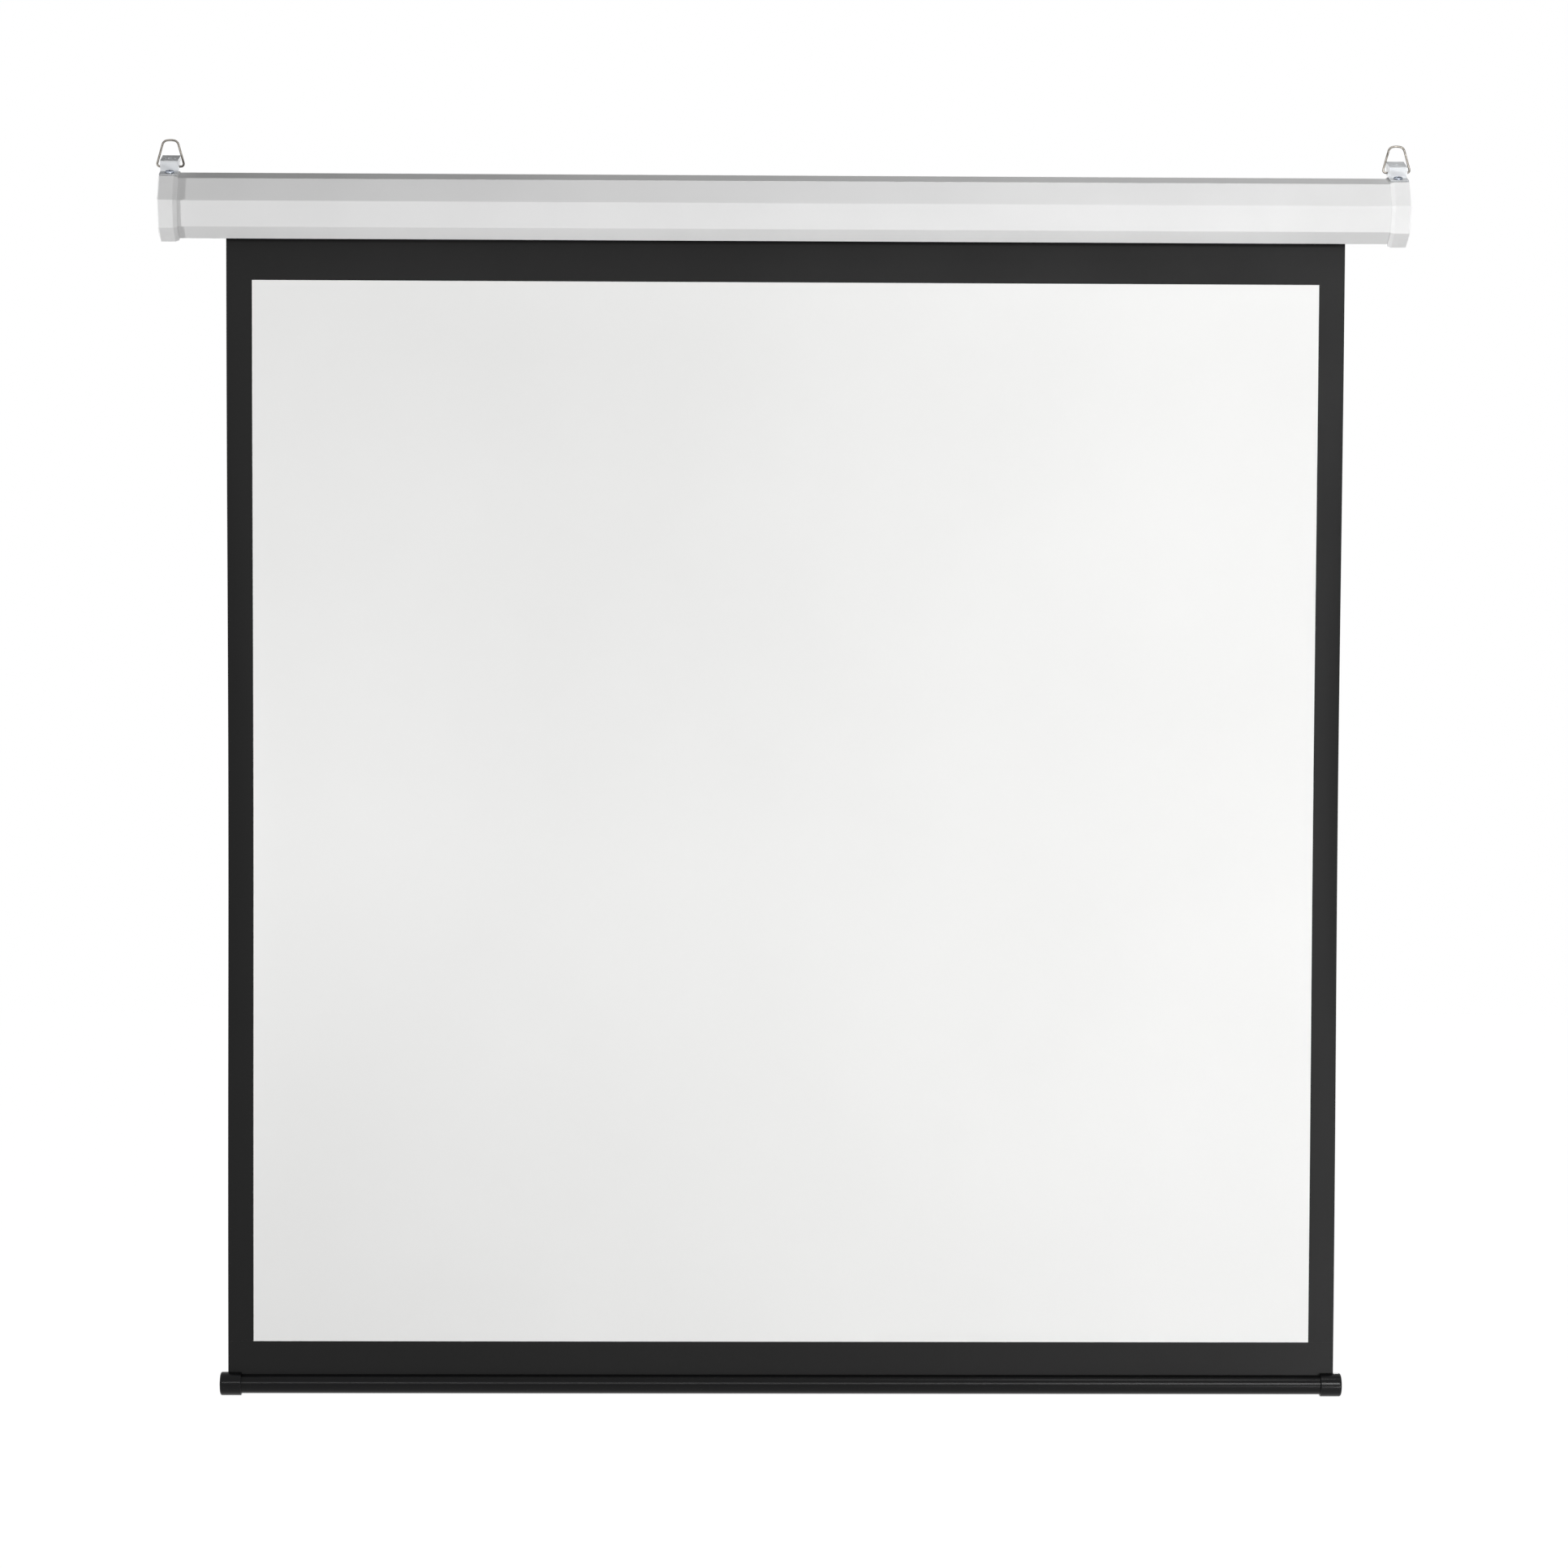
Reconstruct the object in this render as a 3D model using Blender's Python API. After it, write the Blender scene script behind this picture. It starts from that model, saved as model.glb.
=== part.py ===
"""Electric roll-down projection screen, hung by two wire rings.

An eight-sided steel case holds a roller with a tubular motor in it. The screen drops off the
back of the roller, through the slot in the case's underside, to a round weight bar. The case
hangs from its end brackets and leans forward, because the rings are behind its middle, and the
screen still hangs plumb.

World frame, in metres: X along the case, Y towards the wall, Z up. The origin is the hanging
point, midway between the inner crowns of the two rings. Sizes below are millimetres times MM.
"""
from collections import namedtuple
from math import asin, atan2, cos, pi, radians, sin, tan

import bmesh
import bpy
from mathutils import Matrix, Vector

MM = 0.001
SIDES = ((-1.0, "left"), (1.0, "right"))
MOTOR_SIDE = 1.0


class Screw(namedtuple("Screw", "head_radius head_height shank_radius shank_length")):
    """Sizes of a pan-head screw, and the shares of them that its head and tip are rounded by."""

    TIP_RADIUS = 0.5
    RIM_HEIGHT = 0.45
    SHOULDER_HEIGHT = 0.85
    SHOULDER_RADIUS = 0.8
    CROWN_RADIUS = 0.45

    def profile(self, seat):
        """Outline from tip to crown as (place, radius), the head's underside at seat."""
        tip = seat - self.shank_length
        crown = seat + self.head_height
        shoulder = seat + self.SHOULDER_HEIGHT * self.head_height
        return [(tip, 0.0), (tip, self.TIP_RADIUS * self.shank_radius),
                (tip + self.shank_radius, self.shank_radius), (seat, self.shank_radius),
                (seat, self.head_radius),
                (seat + self.RIM_HEIGHT * self.head_height, self.head_radius),
                (shoulder, self.SHOULDER_RADIUS * self.head_radius),
                (crown, self.CROWN_RADIUS * self.head_radius), (crown, 0.0)]


# Clearance between two pieces that touch on the real screen
TOUCH = 0.3 * MM

# Screen: one sheet, black behind and round its edge, with a white square printed in front
VIEW_WIDTH = 1250.0 * MM
VIEW_HEIGHT = 1250.0 * MM
SIDE_BORDER = 30.0 * MM
LOWER_BORDER = 39.3 * MM
VIEW_TOP_BELOW_CASE = 84.0 * MM
VIEW_COAT = 0.15 * MM
SCREEN_THICKNESS = 0.4 * MM
ROOM_LEFT = 74.5 * MM
ROOM_RIGHT = 68.5 * MM

# Case: an octagon folded from sheet steel, cut off below to leave the screen's slot
CASE_FLATS = 74.0 * MM
CASE_DROP = 33.4 * MM
CASE_WALL = 0.8 * MM
CASE_BEND = 1.4 * MM
LIP_WIDTH = 2.6 * MM
LIP_RISE = 6.0 * MM
CASE_LEAN = radians(16.5)

# End caps: moulded, proud of the case all round
CAP_LENGTH = 22.5 * MM
CAP_PROUD = 2.5 * MM
CAP_SILL = 4.2 * MM
CAP_END_WALL = 4.0 * MM
CAP_EDGE = 1.0 * MM
CAP_COLLAR_LENGTH = 4.7 * MM
CAP_COLLAR_EDGE = 0.5 * MM

# Hanger brackets: pressed steel, one on each cap
BRACKET_WALL = 1.5 * MM
BRACKET_WIDTH = 21.0 * MM
BRACKET_INSET = 0.5 * MM
BRACKET_HEIGHT = 14.0 * MM
BRACKET_BEND = 2.2 * MM
FOOT_EDGE = 0.45 * MM
RISER_BEND = 1.1 * MM
PLATE_BACK_EDGE = 0.9 * MM
FOOT_SETBACK = 1.0 * MM
FOOT_LENGTH = 16.5 * MM
PLATE_LENGTH = 31.0 * MM
EAR_LIP = 3.0 * MM
EAR_PAST_EYE = 4.5 * MM
BOSS_RADIUS = 6.5 * MM
BOSS_HEIGHT = 0.7 * MM
BOSS_RIM_HEIGHT = 0.2 * MM
BOSS_BEHIND_RISER = 10.8 * MM
CEILING_HOLE_RADIUS = 2.6 * MM

# Rings: one bent wire each, its two ends in the bracket's ears
EYE_BEHIND_RISER = 14.9 * MM
EYE_RISE = 4.2 * MM
EYE_CLEARANCE = 0.35 * MM
WIRE_RADIUS = 1.2 * MM
RING_END_PAST_EAR = 1.6 * MM
RING_CORNER_PAST_EAR = 5.9 * MM
RING_SHOULDER_X = 8.2 * MM
RING_SHOULDER_Z = 29.4 * MM
RING_CROWN_Z = 31.0 * MM
RING_CORNER_BEND = 3.2 * MM
RING_SHOULDER_BEND = 6.5 * MM
RING_CROWN_BEND = 24.0 * MM

# Screws, and where they are in the case's section
BRACKET_SCREW = Screw(5.2 * MM, 2.9 * MM, 2.0 * MM, 9.0 * MM)
BRACKET_SCREW_BEFORE_RISER = 9.6 * MM
BRACKET_SCREW_INWARD = 1.5 * MM
CAP_SCREW = Screw(3.6 * MM, 2.0 * MM, 1.7 * MM, 7.0 * MM)
CAP_SCREW_FROM_SIDE = 13.0 * MM
CAP_SCREW_BELOW_TOP = 20.0 * MM
CAP_SCREW_ABOVE_SLOT = 13.4 * MM
CAP_SCREW_SUNK = 2.3 * MM
HOLE_CLEARANCE = 0.35 * MM

# Cable outlet in the right end cap
GROMMET_FROM_BACK = 17.0 * MM
GROMMET_ABOVE_SLOT = 14.4 * MM
GROMMET_RADIUS = 5.5 * MM
GROMMET_BORE = 3.6 * MM
GROMMET_FLANGE = 1.6 * MM
GROMMET_FLANGE_THICKNESS = 1.0 * MM

# End plates that carry the roller, inside the case ends
PLATE_THICKNESS = 2.0 * MM
PLATE_CLEARANCE = 0.5 * MM
PLATE_ABOVE_LIP = 1.4 * MM
PLATE_BEND = 3.0 * MM

# Roller, motor and idler, on one axis
ROLLER_Y = -8.0 * MM
ROLLER_Z = 2.0 * MM
TUBE_RADIUS = 19.0 * MM
TUBE_WALL = 1.0 * MM
TUBE_OVERHANG = 8.0 * MM
RUNNING_GAP = 0.5 * MM
CROWN_WALL = 0.7 * MM
CROWN_SPIGOT = 12.0 * MM
FLANGE_THICKNESS = 2.7 * MM
MOTOR_LENGTH = 410.0 * MM
MOTOR_HEAD_RADIUS = 22.0 * MM
MOTOR_CHAMFER = 2.0 * MM
SHAFT_RADIUS = 5.0 * MM
SHAFT_LENGTH = 22.0 * MM
WHEEL_LENGTH = 15.0 * MM
WHEEL_HUB = 4.0 * MM
WHEEL_RIM = 2.5 * MM
WHEEL_WEB = 5.0 * MM
IDLER_SPIGOT = 24.0 * MM
IDLER_PIN_RADIUS = 6.0 * MM
IDLER_PIN_CHAMFER = 1.5 * MM
IDLER_SHOULDER_RADIUS = 10.0 * MM
IDLER_SHOULDER_LENGTH = 14.0 * MM
BUSH_WALL = 2.5 * MM
WOUND_TURNS = 2.25
WOUND_STEPS_PER_TURN = 40

# Weight bar: a slotted tube with a rod in the screen's hem, and two caps
BAR_RADIUS = 11.4 * MM
BAR_WALL = 1.2 * MM
BAR_SLOT = 2.0 * MM
BAR_PAST_SCREEN = 10.5 * MM
BAR_CAP_WALL = 2.5 * MM
BAR_CAP_LENGTH = 26.5 * MM
BAR_CAP_DOME = 1.6 * MM
BAR_CAP_EDGE = 2.6 * MM
BAR_CAP_MOUTH_EDGE = 1.5 * MM
BAR_CAP_END_WALL = 4.0 * MM
HEM_ROD_RADIUS = 3.0 * MM
HEM_WRAP = radians(320.0)

# Smoothness of round pieces
ROUND_STEPS = 32
SMALL_ROUND_STEPS = 20
BEND_STEPS = 3
CAP_EDGE_STEPS = 4
RING_BEND_STEPS = 6
RING_WIRE_RESOLUTION = 2
SHARP_ANGLE = 30.0

# Sizes and places that follow from those above, first along X
SCREEN_WIDTH = VIEW_WIDTH + 2.0 * SIDE_BORDER
SCREEN_X = (ROOM_LEFT - ROOM_RIGHT) / 2.0
SCREEN_LEFT = SCREEN_X - SCREEN_WIDTH / 2.0
SCREEN_RIGHT = SCREEN_X + SCREEN_WIDTH / 2.0
END_X = (SCREEN_WIDTH + ROOM_LEFT + ROOM_RIGHT) / 2.0
CASE_END_X = END_X - CAP_END_WALL - TOUCH
PLATE_IN_X = CASE_END_X - PLATE_THICKNESS
BRACKET_X = END_X - BRACKET_INSET - BRACKET_WIDTH / 2.0
TUBE_LEFT_X = SCREEN_LEFT - TUBE_OVERHANG
TUBE_RIGHT_X = SCREEN_RIGHT + TUBE_OVERHANG
HEAD_INNER_X = TUBE_RIGHT_X + FLANGE_THICKNESS + 3.0 * TOUCH
MOTOR_END_X = HEAD_INNER_X - MOTOR_LENGTH
BAR_HALF = SCREEN_WIDTH / 2.0 + BAR_PAST_SCREEN

# Then across the case, in the case's own upright section
CAP_TOP = CASE_FLATS / 2.0 + CAP_PROUD
CAP_DROP = CASE_DROP + CAP_SILL
CAP_COLLAR_FALL = CAP_PROUD - TOUCH - CAP_COLLAR_EDGE
FOOT_FRONT = FOOT_SETBACK - CAP_TOP * tan(pi / 8.0)
RISER_FRONT = FOOT_FRONT + FOOT_LENGTH
BRACKET_BASE = CAP_TOP + TOUCH
BRACKET_TOP = BRACKET_BASE + BRACKET_HEIGHT
BRACKET_SCREW_X = BRACKET_X - BRACKET_SCREW_INWARD
BRACKET_SCREW_Y = RISER_FRONT - BRACKET_SCREW_BEFORE_RISER
EYE_Y = RISER_FRONT + EYE_BEHIND_RISER
EYE_Z = CAP_TOP + EYE_RISE
CAP_SCREW_SIDE = CASE_FLATS / 2.0 - CAP_SCREW_FROM_SIDE
CAP_SCREW_PLACES = (((CAP_SCREW_SIDE, CASE_FLATS / 2.0 - CAP_SCREW_BELOW_TOP), "upper"),
                    ((-CAP_SCREW_SIDE, CAP_SCREW_ABOVE_SLOT - CASE_DROP), "lower"))
GROMMET_PLACE = (CASE_FLATS / 2.0 - GROMMET_FROM_BACK, GROMMET_ABOVE_SLOT - CASE_DROP)

# Then the radii about the roller's axis
SLEEVE_RADIUS = TUBE_RADIUS - TUBE_WALL - TOUCH
MOTOR_RADIUS = SLEEVE_RADIUS - CROWN_WALL - RUNNING_GAP
WOUND_START = TUBE_RADIUS + TOUCH + SCREEN_THICKNESS / 2.0
WOUND_END = WOUND_START + (SCREEN_THICKNESS + TOUCH) * WOUND_TURNS

# Then the hem, whose rod hangs beside the sheet's plane
HEM_RADIUS = HEM_ROD_RADIUS + TOUCH + SCREEN_THICKNESS
HEM_ROD_Y = -(HEM_ROD_RADIUS + TOUCH + SCREEN_THICKNESS / 2.0)
HEM_ROOM = BAR_RADIUS - BAR_WALL - TOUCH - HEM_RADIUS
HEM_ROD_Z = (HEM_ROOM * HEM_ROOM - HEM_ROD_Y * HEM_ROD_Y) ** 0.5


def case_to_level(y, z):
    """Turn a point of the case's cross-section by the case's lean."""
    return (y * cos(CASE_LEAN) - z * sin(CASE_LEAN), z * cos(CASE_LEAN) + y * sin(CASE_LEAN))


# Outlines in the (y, z) plane


def octagon(flats, drop):
    """Eight corners of an octagon, cut off below at depth drop, front corner first."""
    half = flats / 2.0
    side = half * tan(pi / 8.0)
    low = half + side - drop
    return [(-half, -side), (-half, side), (-side, half), (side, half),
            (half, side), (half, -side), (low, -drop), (-low, -drop)]


def fillet(points, radius, steps=BEND_STEPS, closed=False):
    """Round the corners of a path with arcs, each limited by the sides that it joins."""
    count = len(points)
    result = []
    for index, corner in enumerate(points):
        if not closed and index in (0, count - 1):
            result.append(corner)
            continue
        centre = Vector(corner)
        back = Vector(points[index - 1]) - centre
        ahead = Vector(points[(index + 1) % count]) - centre
        turn = pi - back.angle(ahead)
        bend = radius[index] if isinstance(radius, (list, tuple)) else radius
        reach = min(bend * tan(turn / 2.0), 0.48 * back.length, 0.48 * ahead.length)
        true_bend = reach / tan(turn / 2.0)
        middle = (back.normalized() + ahead.normalized()).normalized()
        pivot = centre + middle * (true_bend / cos(turn / 2.0))
        start = centre + back.normalized() * reach - pivot
        end = centre + ahead.normalized() * reach - pivot
        first = atan2(start.y, start.x)
        sweep = (atan2(end.y, end.x) - first + pi) % (2.0 * pi) - pi
        for step in range(steps + 1):
            angle = first + sweep * step / steps
            result.append((pivot.x + true_bend * cos(angle), pivot.y + true_bend * sin(angle)))
    return result


def thicken(path, wall):
    """Outline of a strip: the path, and back along the path moved to its right by wall."""
    moved = []
    last = len(path) - 1
    for index, point in enumerate(path):
        before = Vector(path[max(index - 1, 0)])
        after = Vector(path[min(index + 1, last)])
        here = Vector(point)
        into = (here - before) if index else (after - here)
        out = (after - here) if index < last else into
        normal_in = Vector((into.y, -into.x)).normalized()
        normal_out = Vector((out.y, -out.x)).normalized()
        mitre = (normal_in + normal_out).normalized()
        shift = here + mitre * (wall / mitre.dot(normal_in))
        moved.append((shift.x, shift.y))
    return list(path) + moved[::-1]


def arc(centre, radius, start, sweep, steps):
    """Points of an arc about centre, from angle start over angle sweep."""
    angles = [start + sweep * step / steps for step in range(steps + 1)]
    return [(centre[0] + radius * cos(angle), centre[1] + radius * sin(angle)) for angle in angles]


# Solids


def new_object(name, mesh, material, parent):
    """Put a mesh in the scene as one sub-part with its own material."""
    mesh.shade_smooth()
    mesh.set_sharp_from_angle(angle=radians(SHARP_ANGLE))
    mesh.materials.append(material)
    part = bpy.data.objects.new(name, mesh)
    bpy.context.scene.collection.objects.link(part)
    part.parent = parent
    return part


def mesh_from(shape, name):
    """Make a mesh of a bmesh, with all its faces pointing out."""
    bmesh.ops.recalc_face_normals(shape, faces=shape.faces)
    mesh = bpy.data.meshes.new(name)
    shape.to_mesh(mesh)
    shape.free()
    return mesh


def prism(name, outline, x_start, x_end):
    """Extrude an outline along X."""
    shape = bmesh.new()
    corners = [shape.verts.new((x_start, y, z)) for y, z in outline]
    face = shape.faces.new(corners)
    grown = bmesh.ops.extrude_face_region(shape, geom=[face])
    far = [item for item in grown["geom"] if isinstance(item, bmesh.types.BMVert)]
    bmesh.ops.translate(shape, verts=far, vec=(x_end - x_start, 0.0, 0.0))
    return mesh_from(shape, name)


def loft(name, sections):
    """Skin rings of equal count, given as (x, outline), and close the first and the last."""
    shape = bmesh.new()
    rings = [[shape.verts.new((x, y, z)) for y, z in outline] for x, outline in sections]
    for near, far in zip(rings, rings[1:]):
        for index in range(len(near)):
            after = (index + 1) % len(near)
            shape.faces.new((near[index], near[after], far[after], far[index]))
    shape.faces.new(rings[0])
    shape.faces.new(rings[-1][::-1])
    return mesh_from(shape, name)


def turned(name, profile, centre=(0.0, 0.0), steps=ROUND_STEPS, axis="X"):
    """Spin a profile of (place along the axis, radius) round an axis through centre."""
    shape = bmesh.new()
    points = [shape.verts.new((x, radius, 0.0)) for x, radius in profile]
    edges = [shape.edges.new(pair) for pair in zip(points, points[1:])]
    if profile[0][1] > 0.0:
        edges.append(shape.edges.new((points[-1], points[0])))
    bmesh.ops.spin(shape, geom=points + edges, cent=(0.0, 0.0, 0.0), axis=(1.0, 0.0, 0.0),
                   dvec=(0.0, 0.0, 0.0), angle=2.0 * pi, steps=steps, use_duplicate=False)
    bmesh.ops.remove_doubles(shape, verts=shape.verts, dist=1.0e-6)
    if axis == "Z":
        shape.transform(Matrix.Rotation(-pi / 2.0, 4, "Y"))
        shape.transform(Matrix.Translation((centre[0], centre[1], 0.0)))
    else:
        shape.transform(Matrix.Translation((0.0, centre[0], centre[1])))
    return mesh_from(shape, name)


def hollow_profile(x_start, x_end, outer, inner):
    """Closed profile of a plain tube."""
    return [(x_start, inner), (x_start, outer), (x_end, outer), (x_end, inner)]


def cut(part, tool_mesh, name, operation="DIFFERENCE"):
    """Cut a mesh out of a sub-part, or join it on, with a hidden tool object."""
    tool = bpy.data.objects.new(name, tool_mesh)
    bpy.context.scene.collection.objects.link(tool)
    tool.parent = part.parent
    tool.hide_render = True
    tool.display_type = "WIRE"
    step = part.modifiers.new(name, "BOOLEAN")
    step.operation = operation
    step.solver = "EXACT"
    step.object = tool


def hole(part, name, centre, radius, reach, axis="X", steps=SMALL_ROUND_STEPS):
    """Drill a round hole over the stretch reach along an axis through centre."""
    profile = [(reach[0], 0.0), (reach[0], radius), (reach[1], radius), (reach[1], 0.0)]
    cut(part, turned(name, profile, centre, steps, axis), name)


def finish(name, colour, roughness, metallic=0.0):
    """Principled material of one sub-part; colour is linear red, green, blue."""
    material = bpy.data.materials.new(name)
    material.use_nodes = True
    material.diffuse_color = (*colour, 1.0)
    shader = material.node_tree.nodes["Principled BSDF"]
    shader.inputs["Base Color"].default_value = (*colour, 1.0)
    shader.inputs["Roughness"].default_value = roughness
    shader.inputs["Metallic"].default_value = metallic
    return material


def empty(name, place, parent=None, lean=0.0):
    """Guide that places a group of sub-parts."""
    guide = bpy.data.objects.new(name, None)
    bpy.context.scene.collection.objects.link(guide)
    guide.location = place
    guide.rotation_euler = (lean, 0.0, 0.0)
    guide.parent = parent
    return guide


def mirrored(points, side):
    """Mirror the x of (x, value) points to the side given, +1 or -1."""
    return [(side * x, value) for x, value in points]


WHITE_PAINT = (0.78, 0.78, 0.78)
WHITE_PLASTIC = (0.76, 0.76, 0.76)
BRACKET_PAINT = (0.80, 0.82, 0.84)
NICKEL = (0.62, 0.60, 0.56)
ZINC = (0.55, 0.57, 0.60)
BLACK_PAINT = (0.016, 0.016, 0.016)
BLACK_PLASTIC = (0.012, 0.012, 0.012)
BLACK_SHEET = (0.025, 0.025, 0.025)
WHITE_SHEET = (0.80, 0.80, 0.80)
GREY_PLASTIC = (0.10, 0.10, 0.11)
ALUMINIUM = (0.60, 0.61, 0.62)


# Sub-assemblies


def build_case(frame):
    """The folded steel case: eight flats, and a lip turned up on each side of the slot."""
    corners = octagon(CASE_FLATS, CASE_DROP)
    lip_y = corners[6][0] - LIP_WIDTH
    lip_z = LIP_RISE - CASE_DROP
    front_lip = [(-lip_y, lip_z), (-lip_y, -CASE_DROP), corners[7]]
    back_lip = [corners[6], (lip_y, -CASE_DROP), (lip_y, lip_z)]
    path = fillet(front_lip + corners[:6] + back_lip, CASE_BEND)
    mesh = prism("case_shell", thicken(path, CASE_WALL), -CASE_END_X, CASE_END_X)
    case = new_object("case_shell", mesh, finish("white_painted_steel", WHITE_PAINT, 0.35), frame)
    reach = (CASE_FLATS / 2.0 - 2.0 * CASE_WALL, CASE_FLATS / 2.0 + CASE_WALL)
    for side, word in SIDES:
        hole(case, f"case_hole_{word}", (side * BRACKET_SCREW_X, BRACKET_SCREW_Y),
             BRACKET_SCREW.shank_radius + HOLE_CLEARANCE, reach, "Z")


def build_cap(frame, side, word):
    """One moulded end cap: a shallow tray whose collar slopes down to the case."""
    inner = END_X - CAP_LENGTH

    def outside(inset):
        return octagon(2.0 * (CAP_TOP - inset), CAP_DROP - inset)

    socket = octagon(CASE_FLATS + 2.0 * TOUCH, CASE_DROP + TOUCH)
    sections = [(END_X, outside(CAP_EDGE)), (END_X - CAP_EDGE, outside(0.0)),
                (inner + CAP_COLLAR_LENGTH, outside(0.0)), (inner, outside(CAP_COLLAR_FALL)),
                (inner, socket), (END_X - CAP_END_WALL, socket)]
    name = f"end_cap_{word}"
    mesh = loft(name, [(side * x, outline) for x, outline in sections])
    cap = new_object(name, mesh, finish(f"{name}_plastic", WHITE_PLASTIC, 0.4), frame)
    hole(cap, f"cap_top_hole_{word}", (side * BRACKET_SCREW_X, BRACKET_SCREW_Y),
         BRACKET_SCREW.shank_radius + HOLE_CLEARANCE, (CAP_TOP - 2.0 * CAP_PROUD, CAP_TOP + CAP_PROUD),
         "Z")
    through = (side * (END_X - 2.0 * CAP_END_WALL), side * (END_X + CAP_END_WALL))
    sunk = (side * (END_X - CAP_SCREW_SUNK), side * (END_X + CAP_END_WALL))
    for place, height in CAP_SCREW_PLACES:
        hole(cap, f"cap_hole_{word}_{height}", place,
             CAP_SCREW.shank_radius + HOLE_CLEARANCE, through)
        hole(cap, f"cap_sink_{word}_{height}", place,
             CAP_SCREW.head_radius + HOLE_CLEARANCE, sunk)
    if side == MOTOR_SIDE:
        hole(cap, "cap_cable_hole", GROMMET_PLACE, GROMMET_RADIUS + TOUCH, through)


def build_bracket(frame, side, word):
    """One pressed hanger bracket: foot, riser, top plate and two ears for the ring."""
    low_x = BRACKET_X - BRACKET_WIDTH / 2.0
    high_x = BRACKET_X + BRACKET_WIDTH / 2.0
    plate_back = RISER_FRONT + PLATE_LENGTH
    foot_top = BRACKET_BASE + BRACKET_WALL
    corners = [(FOOT_FRONT, BRACKET_BASE), (FOOT_FRONT, foot_top), (RISER_FRONT, foot_top),
               (RISER_FRONT, BRACKET_TOP), (plate_back, BRACKET_TOP),
               (plate_back, BRACKET_TOP - EAR_LIP), (EYE_Y + EAR_PAST_EYE, BRACKET_BASE)]
    bends = [FOOT_EDGE, FOOT_EDGE, RISER_BEND, BRACKET_BEND, PLATE_BACK_EDGE, BRACKET_BEND,
             BRACKET_BEND]
    outline = fillet(corners, bends, closed=True)
    name = f"hanger_bracket_{word}"
    paint = finish(f"{name}_paint", BRACKET_PAINT, 0.35)
    bracket = new_object(name, prism(name, outline, side * low_x, side * high_x), paint, frame)

    front = RISER_FRONT + BRACKET_WALL
    back = plate_back + BRACKET_WALL
    ceiling = BRACKET_TOP - BRACKET_WALL
    floor = BRACKET_BASE - BRACKET_WALL
    room = [(front, floor), (front, ceiling), (back, ceiling), (back, floor)]
    cut(bracket, prism(f"room_{word}", room, side * (low_x + BRACKET_WALL),
                       side * (high_x - BRACKET_WALL)), f"bracket_room_{word}")

    centre = (side * BRACKET_X, RISER_FRONT + BOSS_BEHIND_RISER)
    seat = BRACKET_TOP - 0.5 * BRACKET_WALL
    crest = BRACKET_TOP + BOSS_HEIGHT
    boss = [(seat, 0.0), (seat, BOSS_RADIUS), (BRACKET_TOP + BOSS_RIM_HEIGHT, BOSS_RADIUS),
            (crest, BOSS_RADIUS - BOSS_HEIGHT), (crest, 0.0)]
    cut(bracket, turned(f"boss_{word}", boss, centre, ROUND_STEPS, "Z"),
        f"bracket_boss_{word}", "UNION")
    hole(bracket, f"bracket_ceiling_hole_{word}", centre, CEILING_HOLE_RADIUS,
         (BRACKET_TOP - 2.0 * BRACKET_WALL, BRACKET_TOP + BRACKET_WALL), "Z")
    hole(bracket, f"bracket_foot_hole_{word}", (side * BRACKET_SCREW_X, BRACKET_SCREW_Y),
         BRACKET_SCREW.shank_radius + HOLE_CLEARANCE, (floor, foot_top + BRACKET_WALL), "Z")
    hole(bracket, f"bracket_eyes_{word}", (EYE_Y, EYE_Z), WIRE_RADIUS + EYE_CLEARANCE,
         (side * (low_x - BRACKET_WALL), side * (high_x + BRACKET_WALL)))


def build_end_plate(frame, side, name, bores):
    """One octagonal steel plate inside a case end, drilled for its screws and its bores."""
    flats = CASE_FLATS - 2.0 * (CASE_WALL + PLATE_CLEARANCE)
    drop = CASE_DROP - LIP_RISE - PLATE_ABOVE_LIP
    outline = fillet(octagon(flats, drop), PLATE_BEND, closed=True)
    mesh = prism(name, outline, side * PLATE_IN_X, side * CASE_END_X)
    plate = new_object(name, mesh, finish(f"{name}_zinc", ZINC, 0.4, 0.9), frame)
    reach = (side * (PLATE_IN_X - PLATE_THICKNESS), side * (CASE_END_X + PLATE_THICKNESS))
    for place, height in CAP_SCREW_PLACES:
        hole(plate, f"{name}_hole_{height}", place,
             CAP_SCREW.shank_radius + HOLE_CLEARANCE, reach)
    for bore, place, radius in bores:
        hole(plate, f"{name}_{bore}", place, radius, reach)


def build_screws(frame, side, word):
    """The bracket's pan-head screw, and the two sunk screws through the end cap."""
    name = f"bracket_screw_{word}"
    seat = BRACKET_BASE + BRACKET_WALL + TOUCH
    mesh = turned(name, BRACKET_SCREW.profile(seat), (side * BRACKET_SCREW_X, BRACKET_SCREW_Y),
                  SMALL_ROUND_STEPS, "Z")
    new_object(name, mesh, finish(f"{name}_zinc", ZINC, 0.25, 1.0), frame)
    seat = END_X - CAP_SCREW_SUNK + TOUCH
    for place, height in CAP_SCREW_PLACES:
        name = f"cap_screw_{word}_{height}"
        profile = mirrored(CAP_SCREW.profile(seat), side)
        mesh = turned(name, profile, place, SMALL_ROUND_STEPS)
        new_object(name, mesh, finish(f"{name}_zinc", ZINC, 0.3, 1.0), frame)


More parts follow.
